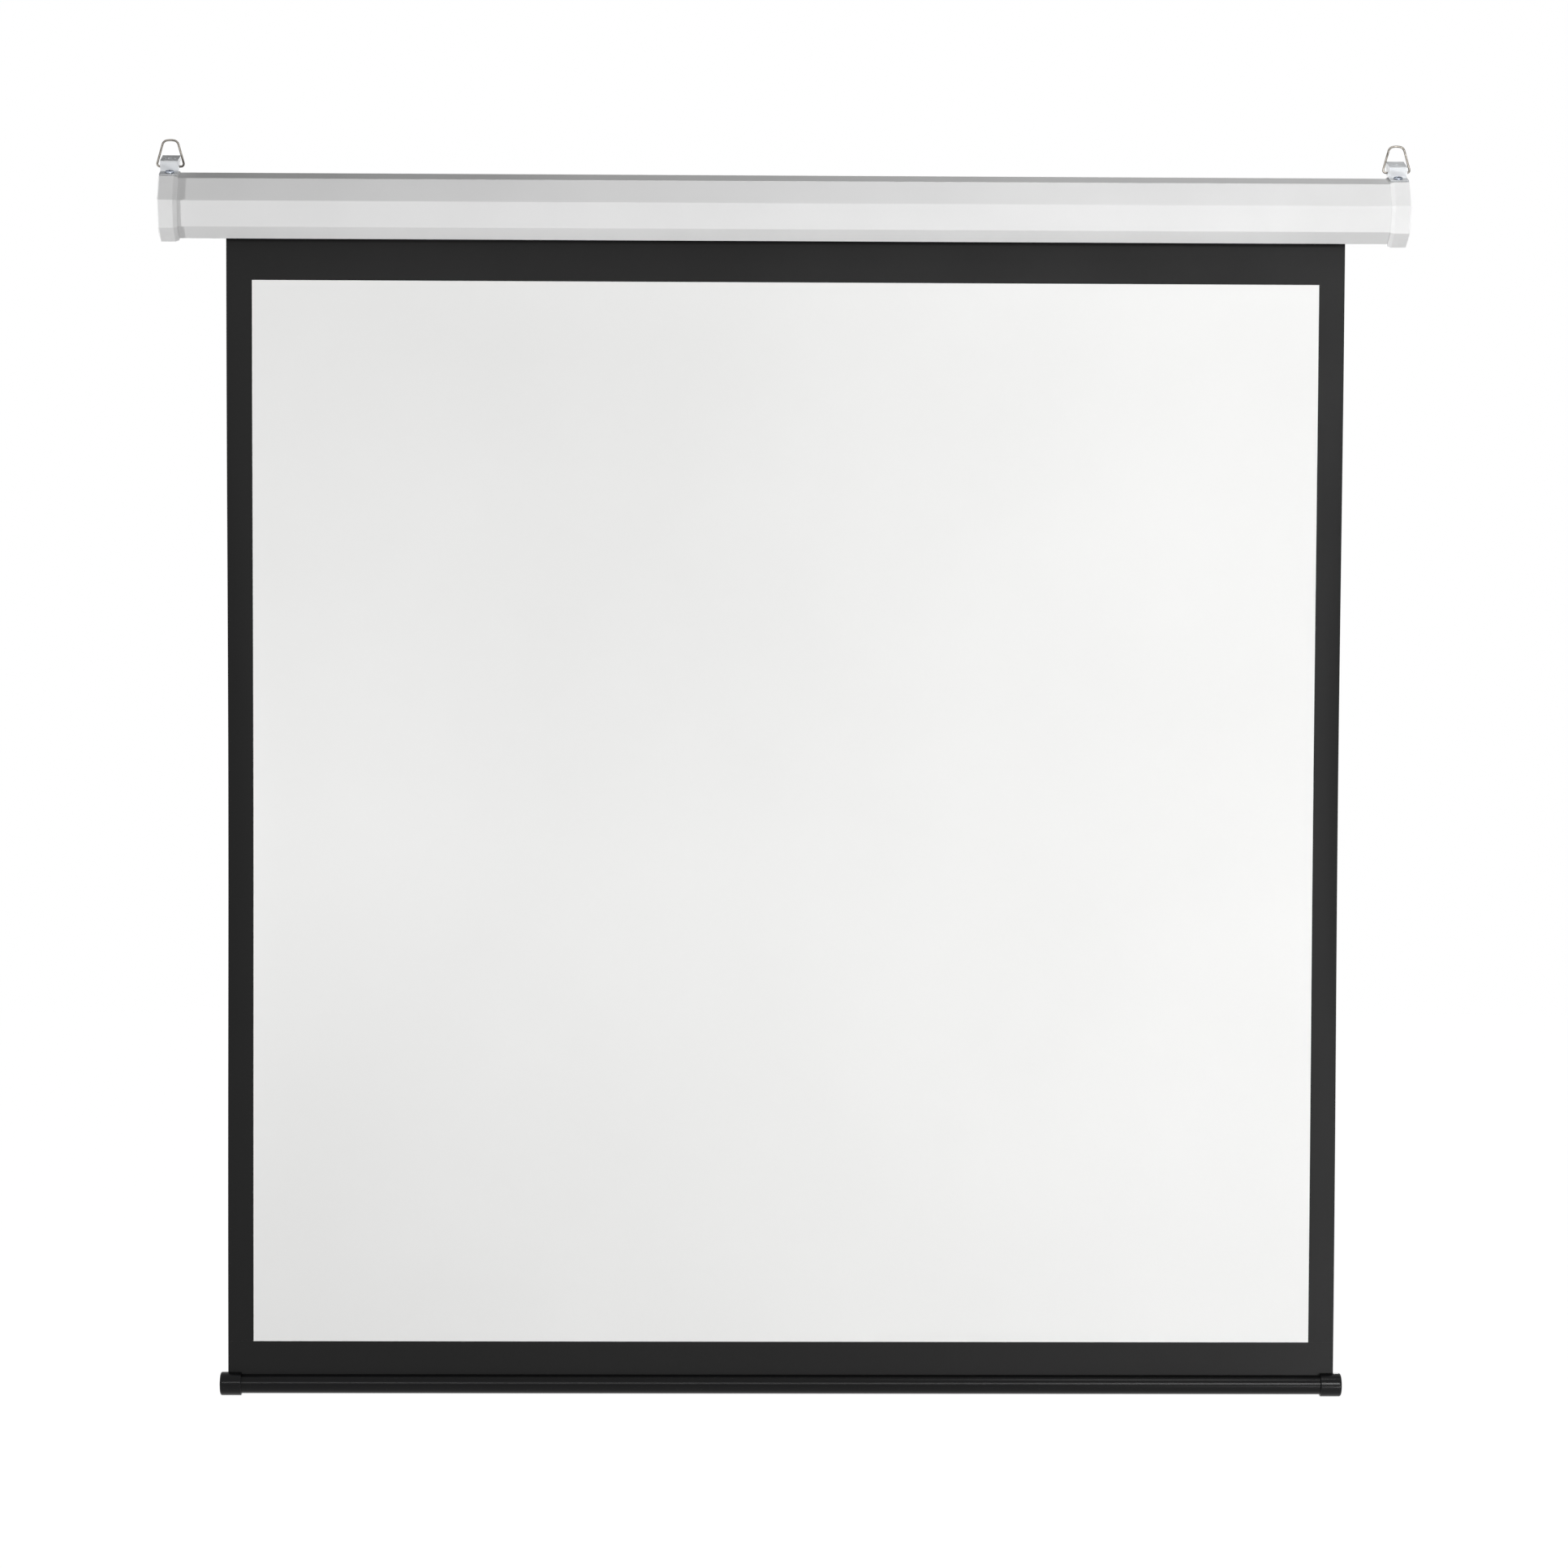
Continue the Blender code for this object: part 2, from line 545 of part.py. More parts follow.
def build_grommet(frame, side):
    """Rubber ring round the cable outlet, set in the cap's end wall."""
    inner = END_X - CAP_END_WALL + TOUCH
    face = END_X + TOUCH
    crest = face + GROMMET_FLANGE_THICKNESS
    lip = GROMMET_RADIUS + GROMMET_FLANGE
    profile = [(inner, GROMMET_BORE), (inner, GROMMET_RADIUS), (face, GROMMET_RADIUS),
               (face, lip), (crest, lip - 0.5 * GROMMET_FLANGE), (crest, GROMMET_BORE)]
    mesh = turned("cable_grommet", mirrored(profile, side), GROMMET_PLACE, SMALL_ROUND_STEPS)
    new_object("cable_grommet", mesh, finish("grommet_rubber", BLACK_PLASTIC, 0.8), frame)


def build_motor(frame):
    """The tubular motor: a fixed head on the end plate, and a fixed body inside the roller."""
    axis = (ROLLER_Y, ROLLER_Z)
    head_out = PLATE_IN_X - TOUCH
    chamfered = MOTOR_HEAD_RADIUS - MOTOR_CHAMFER
    profile = [(HEAD_INNER_X, 0.0), (HEAD_INNER_X, chamfered),
               (HEAD_INNER_X + MOTOR_CHAMFER, MOTOR_HEAD_RADIUS),
               (head_out - MOTOR_CHAMFER, MOTOR_HEAD_RADIUS), (head_out, chamfered),
               (head_out, 0.0)]
    new_object("motor_head", turned("motor_head", profile, axis),
               finish("motor_head_plastic", GREY_PLASTIC, 0.5), frame)
    body_end = HEAD_INNER_X - TOUCH
    neck = body_end - CROWN_SPIGOT - 2.0 * FLANGE_THICKNESS
    slim = MOTOR_RADIUS - 2.0 * TOUCH
    profile = [(MOTOR_END_X, 0.0), (MOTOR_END_X, slim - MOTOR_CHAMFER),
               (MOTOR_END_X + MOTOR_CHAMFER, slim), (neck, slim), (neck, MOTOR_RADIUS),
               (body_end, MOTOR_RADIUS), (body_end, 0.0)]
    new_object("motor_body", turned("motor_body", profile, axis),
               finish("motor_body_steel", ZINC, 0.35, 0.9), frame)


def build_idler_pin(frame):
    """The stub pin that the roller's plain end turns on, its shoulder on the end plate."""
    root = TOUCH - PLATE_IN_X
    shoulder = root + IDLER_SHOULDER_LENGTH
    tip = TUBE_LEFT_X + IDLER_SPIGOT - FLANGE_THICKNESS
    profile = [(root, 0.0), (root, IDLER_SHOULDER_RADIUS), (shoulder, IDLER_SHOULDER_RADIUS),
               (shoulder, IDLER_PIN_RADIUS), (tip - IDLER_PIN_CHAMFER, IDLER_PIN_RADIUS),
               (tip, IDLER_PIN_RADIUS - IDLER_PIN_CHAMFER), (tip, 0.0)]
    new_object("idler_pin", turned("idler_pin", profile, (ROLLER_Y, ROLLER_Z)),
               finish("idler_pin_steel", ZINC, 0.3, 1.0), frame)


def build_roller(frame):
    """What turns: the tube, the motor's crown, shaft and wheel, the idler plug and its bush."""
    profile = hollow_profile(TUBE_LEFT_X, TUBE_RIGHT_X, TUBE_RADIUS, TUBE_RADIUS - TUBE_WALL)
    new_object("roller_tube", turned("roller_tube", profile),
               finish("roller_aluminium", ALUMINIUM, 0.35, 1.0), frame)

    bore = MOTOR_RADIUS + RUNNING_GAP
    start = TUBE_RIGHT_X - CROWN_SPIGOT
    flange = TUBE_RIGHT_X + TOUCH
    profile = [(start, bore), (start, SLEEVE_RADIUS), (flange, SLEEVE_RADIUS),
               (flange, TUBE_RADIUS), (flange + FLANGE_THICKNESS, TUBE_RADIUS),
               (flange + FLANGE_THICKNESS, bore)]
    new_object("motor_crown", turned("motor_crown", profile),
               finish("crown_plastic", BLACK_PLASTIC, 0.5), frame)

    root = MOTOR_END_X - TOUCH
    profile = [(root, 0.0), (root, SHAFT_RADIUS), (root - SHAFT_LENGTH, SHAFT_RADIUS),
               (root - SHAFT_LENGTH, 0.0)]
    new_object("motor_shaft", turned("motor_shaft", profile, steps=SMALL_ROUND_STEPS),
               finish("shaft_steel", ZINC, 0.3, 1.0), frame)

    middle = root - SHAFT_LENGTH / 2.0
    rim_in = SLEEVE_RADIUS - WHEEL_RIM
    hub_out = SHAFT_RADIUS + TOUCH + WHEEL_HUB
    near = middle + WHEEL_LENGTH / 2.0
    far = middle - WHEEL_LENGTH / 2.0
    web_near = middle + WHEEL_WEB / 2.0
    web_far = middle - WHEEL_WEB / 2.0
    profile = [(far, SHAFT_RADIUS + TOUCH), (far, hub_out), (web_far, hub_out),
               (web_far, rim_in), (far, rim_in), (far, SLEEVE_RADIUS), (near, SLEEVE_RADIUS),
               (near, rim_in), (web_near, rim_in), (web_near, hub_out), (near, hub_out),
               (near, SHAFT_RADIUS + TOUCH)]
    new_object("drive_wheel", turned("drive_wheel", profile),
               finish("wheel_plastic", GREY_PLASTIC, 0.5), frame)

    bush_bore = IDLER_PIN_RADIUS + RUNNING_GAP
    bush_radius = bush_bore + BUSH_WALL
    flange = TUBE_LEFT_X - TOUCH
    outer = flange - FLANGE_THICKNESS
    end = TUBE_LEFT_X + IDLER_SPIGOT
    profile = [(outer, bush_radius + TOUCH), (outer, TUBE_RADIUS), (flange, TUBE_RADIUS),
               (flange, SLEEVE_RADIUS), (end, SLEEVE_RADIUS), (end, bush_radius + TOUCH)]
    new_object("idler_plug", turned("idler_plug", profile),
               finish("plug_plastic", GREY_PLASTIC, 0.5), frame)
    profile = hollow_profile(outer, end, bush_radius, bush_bore)
    new_object("idler_bush", turned("idler_bush", profile),
               finish("bush_nylon", WHITE_PLASTIC, 0.45), frame)


def build_wound_screen(frame):
    """The turns that stay on the roller: a spiral that ends level with the axis, at the back."""
    steps = round(WOUND_STEPS_PER_TURN * WOUND_TURNS)
    path = []
    for step in range(steps + 1):
        share = step / steps
        angle = 2.0 * pi * WOUND_TURNS * (1.0 - share)
        radius = WOUND_START + (WOUND_END - WOUND_START) * share + SCREEN_THICKNESS / 2.0
        path.append((radius * cos(angle), radius * sin(angle)))
    mesh = prism("wound_screen", thicken(path, SCREEN_THICKNESS), SCREEN_LEFT, SCREEN_RIGHT)
    new_object("wound_screen", mesh, finish("wound_screen_black", BLACK_SHEET, 0.7), frame)


def build_screen(frame, top, bar_z):
    """The hanging sheet with its hem, and the white viewing surface on its front."""
    front = -SCREEN_THICKNESS / 2.0
    loop = arc((HEM_ROD_Y, bar_z + HEM_ROD_Z), HEM_ROD_RADIUS + TOUCH, 0.0, -HEM_WRAP,
               SMALL_ROUND_STEPS)
    path = [(front, top - TOUCH)] + loop
    mesh = prism("screen_sheet", thicken(path[::-1], SCREEN_THICKNESS), SCREEN_LEFT, SCREEN_RIGHT)
    new_object("screen_sheet", mesh, finish("screen_sheet_black", BLACK_SHEET, 0.7), frame)

    back = front - TOUCH
    high = -VIEW_TOP_BELOW_CASE
    low = high - VIEW_HEIGHT
    corners = [(back - VIEW_COAT, low), (back, low), (back, high), (back - VIEW_COAT, high)]
    mesh = prism("viewing_surface", corners, SCREEN_LEFT + SIDE_BORDER, SCREEN_RIGHT - SIDE_BORDER)
    new_object("viewing_surface", mesh, finish("viewing_surface_white", WHITE_SHEET, 0.8), frame)


def build_bar(frame):
    """The weight bar, slotted along its top, with the hem rod inside and a cap on each end."""
    half_slot = BAR_SLOT / 2.0
    gap = asin(half_slot / BAR_RADIUS)
    path = arc((0.0, 0.0), BAR_RADIUS, pi / 2.0 - gap, 2.0 * (gap - pi), 2 * ROUND_STEPS)
    half = BAR_HALF - BAR_CAP_END_WALL - TOUCH
    mesh = prism("weight_bar", thicken(path, BAR_WALL), SCREEN_X - half, SCREEN_X + half)
    new_object("weight_bar", mesh, finish("bar_black_paint", BLACK_PAINT, 0.35), frame)

    profile = [(SCREEN_LEFT, 0.0), (SCREEN_LEFT, HEM_ROD_RADIUS), (SCREEN_RIGHT, HEM_ROD_RADIUS),
               (SCREEN_RIGHT, 0.0)]
    mesh = turned("hem_rod", profile, (HEM_ROD_Y, HEM_ROD_Z), SMALL_ROUND_STEPS)
    new_object("hem_rod", mesh, finish("hem_rod_steel", ZINC, 0.4, 1.0), frame)

    socket = BAR_RADIUS + TOUCH
    radius = BAR_RADIUS + BAR_CAP_WALL
    inner = BAR_HALF - BAR_CAP_LENGTH
    corners = [(inner, socket), (inner, radius), (BAR_HALF - BAR_CAP_DOME, radius), (BAR_HALF, 0.0)]
    outside = fillet(corners, [0.0, BAR_CAP_MOUTH_EDGE, BAR_CAP_EDGE, 0.0], CAP_EDGE_STEPS)
    floor = BAR_HALF - BAR_CAP_END_WALL
    profile = [(floor, 0.0), (floor, socket)] + outside
    slot = [(-half_slot, 0.5 * BAR_RADIUS), (half_slot, 0.5 * BAR_RADIUS),
            (half_slot, 2.0 * radius), (-half_slot, 2.0 * radius)]
    slot_start = inner - BAR_CAP_LENGTH
    slot_end = SCREEN_WIDTH / 2.0 + 2.0 * TOUCH
    for side, word in SIDES:
        name = f"bar_cap_{word}"
        placed = [(SCREEN_X + side * x, height) for x, height in profile]
        cap = new_object(name, turned(name, placed), finish(f"{name}_plastic", BLACK_PLASTIC, 0.3),
                         frame)
        cut(cap, prism(f"slot_{word}", slot, SCREEN_X + side * slot_start,
                       SCREEN_X + side * slot_end), f"bar_cap_slot_{word}")


def ring_path():
    """Centre line of a ring's wire, in its own (x, z) plane, from one ear to the other."""
    end = BRACKET_WIDTH / 2.0 - BRACKET_WALL - RING_END_PAST_EAR
    corner = BRACKET_WIDTH / 2.0 + RING_CORNER_PAST_EAR
    half = [(-end, 0.0), (-corner, 0.0), (-RING_SHOULDER_X, RING_SHOULDER_Z)]
    other_half = [(-x, z) for x, z in half[::-1]]
    bends = [0.0, RING_CORNER_BEND, RING_SHOULDER_BEND]
    return fillet(half + [(0.0, RING_CROWN_Z)] + other_half,
                  bends + [RING_CROWN_BEND] + bends[::-1], RING_BEND_STEPS)


def build_ring(frame, word, path):
    """One wire ring, its ends turned in through the ears of its bracket."""
    name = f"ring_{word}"
    wire = bpy.data.curves.new(name, "CURVE")
    wire.dimensions = "3D"
    wire.bevel_depth = WIRE_RADIUS
    wire.bevel_resolution = RING_WIRE_RESOLUTION
    wire.use_fill_caps = True
    spline = wire.splines.new("POLY")
    spline.points.add(len(path) - 1)
    for point, (x, z) in zip(spline.points, path):
        point.co = (x, 0.0, z, 1.0)
    wire.materials.append(finish(f"{name}_nickel", NICKEL, 0.2, 1.0))
    ring = bpy.data.objects.new(name, wire)
    bpy.context.scene.collection.objects.link(ring)
    ring.parent = frame


def main():
    """Build the screen at rest: fully down, hanging by its rings."""
    for item in list(bpy.data.objects):
        bpy.data.objects.remove(item)

    path = ring_path()
    crown = max(z for _, z in path) - WIRE_RADIUS
    eye_y, eye_z = case_to_level(EYE_Y, EYE_Z)
    case_place = (0.0, -eye_y, -crown - eye_z)
    case = empty("case_frame", case_place, lean=CASE_LEAN)
    build_case(case)
    build_grommet(case, MOTOR_SIDE)
    build_end_plate(case, MOTOR_SIDE, "motor_plate", [("cable_hole", GROMMET_PLACE, GROMMET_BORE)])
    build_end_plate(case, -MOTOR_SIDE, "idler_plate", [])
    build_motor(case)
    build_idler_pin(case)
    for side, word in SIDES:
        build_cap(case, side, word)
        build_bracket(case, side, word)
        build_screws(case, side, word)
        build_ring(empty(f"ring_{word}_axis", (side * BRACKET_X, 0.0, -crown)), word, path)

    axis_y, axis_z = case_to_level(ROLLER_Y, ROLLER_Z)
    roller = empty("roller_axis", (0.0, case_place[1] + axis_y, case_place[2] + axis_z))
    build_roller(roller)
    build_wound_screen(roller)

    sheet_y = case_place[1] + axis_y + WOUND_END
    bar_z = -VIEW_TOP_BELOW_CASE - VIEW_HEIGHT - LOWER_BORDER - BAR_RADIUS
    sheet = empty("sheet_plane", (0.0, sheet_y, case_place[2]))
    build_screen(sheet, axis_z, bar_z)
    build_bar(empty("bar_axis", (0.0, sheet_y, case_place[2] + bar_z)))


main()
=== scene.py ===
"""Electric roll-down projection screen: the visible model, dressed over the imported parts.

Every piece is placed in metres in the row's frame: X along the case, Y towards the wall, Z up,
with the origin midway between the inner crowns of the two hanging rings.
"""

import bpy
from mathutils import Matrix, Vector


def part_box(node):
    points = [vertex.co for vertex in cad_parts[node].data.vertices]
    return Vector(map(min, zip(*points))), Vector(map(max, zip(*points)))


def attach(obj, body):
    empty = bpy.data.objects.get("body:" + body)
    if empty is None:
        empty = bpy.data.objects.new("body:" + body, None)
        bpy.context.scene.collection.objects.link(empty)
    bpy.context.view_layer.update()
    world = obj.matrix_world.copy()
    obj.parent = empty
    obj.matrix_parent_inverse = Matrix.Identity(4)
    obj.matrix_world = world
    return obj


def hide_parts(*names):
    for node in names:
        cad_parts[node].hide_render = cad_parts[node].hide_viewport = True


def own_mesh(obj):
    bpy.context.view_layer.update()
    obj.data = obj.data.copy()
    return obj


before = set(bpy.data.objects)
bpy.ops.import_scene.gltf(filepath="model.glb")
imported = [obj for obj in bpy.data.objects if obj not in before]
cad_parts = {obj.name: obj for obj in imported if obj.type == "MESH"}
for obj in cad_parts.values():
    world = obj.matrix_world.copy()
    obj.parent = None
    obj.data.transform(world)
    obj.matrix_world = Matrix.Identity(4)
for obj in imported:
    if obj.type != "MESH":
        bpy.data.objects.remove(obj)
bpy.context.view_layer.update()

import logging
import math
from dataclasses import dataclass
from enum import Enum
from typing import Optional

import bmesh
import bpy
import numpy as np
from mathutils import Matrix, Vector

MM = 0.001
TAU = 2.0 * math.pi
LOG = logging.getLogger("projection_screen")
# Points closer than this are one: in a new piece, and in a copy of a solid
NEW_DOUBLES = 1e-4 * MM
SOLID_DOUBLES = 1e-3 * MM
# A solid's faces that meet at less than the first angle are one flat, and its edges above the
# second are rounded
SAME_FLAT = math.radians(1.0)
ROUNDED_EDGE = math.radians(28.0)


# Colour and shader nodes


def linear(code: str) -> tuple[float, float, float]:
    """Turns an sRGB hex colour into linear red, green and blue.

    Args:
        code: Six hex digits, such as "e8e8e6".

    Returns:
        The three linear values.
    """
    shares = [int(code[start:start + 2], 16) / 255.0 for start in (0, 2, 4)]
    return tuple(s / 12.92 if s <= 0.04045 else ((s + 0.055) / 1.055) ** 2.4 for s in shares)


def add_node(tree: bpy.types.NodeTree, kind: str, settings: Optional[dict] = None,
             inputs: Optional[dict] = None) -> bpy.types.Node:
    """Adds one node with its settings and its input values or links.

    Args:
        tree: The node tree that gets the node.
        kind: Blender's name of the node's type.
        settings: Attribute name to value.
        inputs: Input name or number to a value, or to an output socket to link from.

    Returns:
        The new node.
    """
    node = tree.nodes.new(kind)
    for name, value in (settings or {}).items():
        setattr(node, name, value)
    for key, value in (inputs or {}).items():
        if isinstance(value, bpy.types.NodeSocket):
            tree.links.new(value, node.inputs[key])
        else:
            node.inputs[key].default_value = value
    return node


class Surface(Enum):
    """How a surface was made, which sets the shape of its fine relief."""

    POWDER_COAT = "orange peel of a baked powder coat"
    MOULDED = "fine spark texture of an injection mould"
    DRAWN = "die lines along the length of a drawn or rolled piece"
    PLATED = "soft cloudiness of plating"
    CLOTH = "calendered weave of a coated cloth"


@dataclass(frozen=True)
class Finish:
    """One real finish, with its colours, gloss and relief.

    Attributes:
        name: The material and how its surface was made.
        colour: Main colour, sRGB hex.
        shade: The colour that its cloudy patches lean to, sRGB hex.
        surface: How the surface was made.
        roughness: Lowest and highest roughness over the patches.
        metallic: 1 for bare or plated metal.
        specular: Specular level of the shader.
        rim: Tint of the reflection; on a metal it's the colour towards its rims, sRGB hex.
        grain: Size of the relief's grain, in millimetres.
        relief: Height of the relief, in millimetres.
        patch: Size of the cloudy patches, in millimetres.
    """

    name: str
    colour: str
    shade: str
    surface: Surface
    roughness: tuple[float, float]
    metallic: float = 0.0
    specular: float = 0.5
    rim: str = "ffffff"
    grain: float = 1.2
    relief: float = 0.02
    patch: float = 60.0

    def relief_height(self, tree: bpy.types.NodeTree, place: bpy.types.NodeSocket
                      ) -> bpy.types.NodeSocket:
        """Draws the relief's height, from 0 to 1.

        Args:
            tree: The material's node tree.
            place: Object coordinates, in metres.

        Returns:
            The socket that holds the height.
        """
        pitch = 1.0 / (self.grain * MM)
        if self.surface is Surface.CLOTH:
            waves = [add_node(tree, "ShaderNodeTexWave",
                              {"bands_direction": direction, "wave_profile": "SIN"},
                              {"Vector": place, "Scale": pitch / TAU, "Distortion": 0.6,
                               "Detail": 1.0, "Detail Scale": 2.0})
                     for direction in ("X", "Z")]
            return add_node(tree, "ShaderNodeMath", {"operation": "MULTIPLY"},
                            {0: waves[0].outputs["Fac"], 1: waves[1].outputs["Fac"]}).outputs[0]
        stretch = (0.02, 1.0, 1.0) if self.surface is Surface.DRAWN else (1.0, 1.0, 1.0)
        spread = add_node(tree, "ShaderNodeMapping", None, {"Vector": place, "Scale": stretch})
        rough = 0.7 if self.surface is Surface.MOULDED else 0.45
        return add_node(tree, "ShaderNodeTexNoise", None,
                        {"Vector": spread.outputs[0], "Scale": pitch, "Detail": 2.0,
                         "Roughness": rough}).outputs["Fac"]

    def material(self) -> bpy.types.Material:
        """Builds the procedural material, once for each finish.

        Returns:
            The material, which is shared by all pieces of this finish.
        """
        found = bpy.data.materials.get(self.name)
        if found:
            return found
        material = bpy.data.materials.new(self.name)
        material.use_nodes = True
        tree = material.node_tree
        shader = tree.nodes["Principled BSDF"]
        place = add_node(tree, "ShaderNodeTexCoord").outputs["Object"]
        patches = add_node(tree, "ShaderNodeTexNoise", None,
                           {"Vector": place, "Scale": 1.0 / (self.patch * MM), "Detail": 3.0})
        share = add_node(tree, "ShaderNodeMapRange", None,
                         {"Value": patches.outputs["Fac"], "From Min": 0.3, "From Max": 0.7})
        blend = add_node(tree, "ShaderNodeMix", {"data_type": "RGBA"},
                         {"Factor": share.outputs[0], 6: (*linear(self.colour), 1.0),
                          7: (*linear(self.shade), 1.0)})
        tree.links.new(blend.outputs[2], shader.inputs["Base Color"])
        gloss = add_node(tree, "ShaderNodeMapRange", None,
                         {"Value": share.outputs[0], "To Min": self.roughness[0],
                          "To Max": self.roughness[1]})
        tree.links.new(gloss.outputs[0], shader.inputs["Roughness"])
        bump = add_node(tree, "ShaderNodeBump", None,
                        {"Strength": 1.0, "Distance": self.relief * MM,
                         "Height": self.relief_height(tree, place)})
        tree.links.new(bump.outputs[0], shader.inputs["Normal"])
        shader.inputs["Metallic"].default_value = self.metallic
        shader.inputs["Specular IOR Level"].default_value = self.specular
        shader.inputs["Specular Tint"].default_value = (*linear(self.rim), 1.0)
        return material


# Polyester powder baked on sheet steel: an even satin white with a slight orange peel
CASE_WHITE = Finish("white_powder_coated_steel", "eeeeee", "e9e9e9", Surface.POWDER_COAT,
                    (0.55, 0.62), specular=0.10, grain=1.6, relief=0.012, patch=140.0)
# Moulded ABS: a shade lighter and glossier than the case beside it
CAP_WHITE = Finish("white_moulded_abs", "efefef", "ebebeb", Surface.MOULDED,
                   (0.50, 0.58), specular=0.16, grain=0.5, relief=0.010, patch=30.0)
# Pressed steel with a cool pale grey paint: satin, a shade bluer than the case and caps
BRACKET_GREY = Finish("pale_grey_painted_steel", "eceef0", "e3e6e9", Surface.POWDER_COAT,
                      (0.58, 0.66), specular=0.25, grain=1.0, relief=0.015, patch=12.0)
# Nickel on bent wire: warm grey with soft clouds at random places; the dark clouds and dark rim
# tint are painted reflection of dark surroundings
RING_NICKEL = Finish("bright_nickel_plated_wire", "a8a29a", "524e49", Surface.PLATED,
                     (0.40, 0.48), metallic=1.0, rim="2c2a27", grain=0.8, relief=0.001,
                     patch=16.0)
# Zinc on screws: cooler and cloudier than nickel; its dark rim tint is painted shade, a dark
# outline round the head
SCREW_ZINC = Finish("zinc_plated_screw", "b4bac4", "8b919c", Surface.PLATED,
                    (0.24, 0.34), metallic=1.0, rim="34373d", grain=0.6, relief=0.004, patch=6.0)
# The driver's recess of a screw: dull zinc, coloured dark as painted shade for the shadow inside
# the recess
RECESS_PAINTED_SHADE = Finish("zinc_recess_painted_shade", "3b3f49", "2c2f37", Surface.PLATED,
                      (0.45, 0.60), metallic=1.0, rim="202226", grain=0.6, relief=0.010, patch=3.0)
# Zinc on rolled sheet steel: pale grey with large dull spangles
PLATE_ZINC = Finish("zinc_plated_sheet_steel", "b9bdc1", "a3a8ad", Surface.PLATED,
                    (0.32, 0.46), metallic=1.0, grain=1.5, relief=0.008, patch=14.0)
# Drawn aluminium: silver, with fine lines along its length
TUBE_ALUMINIUM = Finish("drawn_aluminium", "cfd1d3", "c2c4c6", Surface.DRAWN,
                        (0.30, 0.40), metallic=1.0, grain=0.7, relief=0.010, patch=50.0)
# Bright rolled steel: grey, with fine lines along its length
MOTOR_STEEL = Finish("rolled_steel_tube", "b3b6b9", "a1a4a7", Surface.DRAWN,
                     (0.34, 0.44), metallic=1.0, grain=0.7, relief=0.010, patch=40.0)
# Moulded nylon, dyed grey: dull, with a fine mould texture
GREY_NYLON = Finish("moulded_grey_nylon", "5a5b5d", "525355", Surface.MOULDED,
                    (0.48, 0.58), grain=0.5, relief=0.012, patch=12.0)
# Moulded nylon without dye: a waxy cream
PALE_NYLON = Finish("moulded_natural_nylon", "dedbd0", "d4d1c6", Surface.MOULDED,
                    (0.40, 0.50), grain=0.5, relief=0.010, patch=10.0)
# Moulded black nylon of the bar's caps: a shade glossier than the bar, so their line is brighter
BLACK_NYLON = Finish("moulded_black_nylon", "0c0c0d", "0a0a0b", Surface.MOULDED,
                     (0.19, 0.23), specular=0.14, grain=0.5, relief=0.004, patch=12.0)
# Moulded rubber: dull black without a line of light
GROMMET_RUBBER = Finish("moulded_black_rubber", "202021", "1a1a1b", Surface.MOULDED,
                        (0.68, 0.80), specular=0.35, grain=0.6, relief=0.02, patch=5.0)
# Black enamel on the drawn weight bar: satin, so the light draws one long soft line on it
BAR_BLACK = Finish("black_enamelled_tube", "0b0b0c", "0a0a0a", Surface.DRAWN,
                   (0.22, 0.26), specular=0.13, grain=1.2, relief=0.003, patch=200.0)
# Matt white vinyl coat of the picture area. Its real emboss is 0.3 mm, drawn at 0.9 mm to show
SHEET_WHITE = Finish("matt_white_vinyl_coat", "f4f4f3", "f1f1f0", Surface.CLOTH,
                     (0.78, 0.86), specular=0.25, grain=0.9, relief=0.010, patch=350.0)
# Black vinyl on glass cloth: border, leader and back of the sheet
SHEET_BLACK = Finish("black_vinyl_coated_cloth", "121212", "101010", Surface.CLOTH,
                     (0.46, 0.52), specular=0.15, grain=0.9, relief=0.014, patch=250.0)


# Outlines and surfaces, as whole arrays


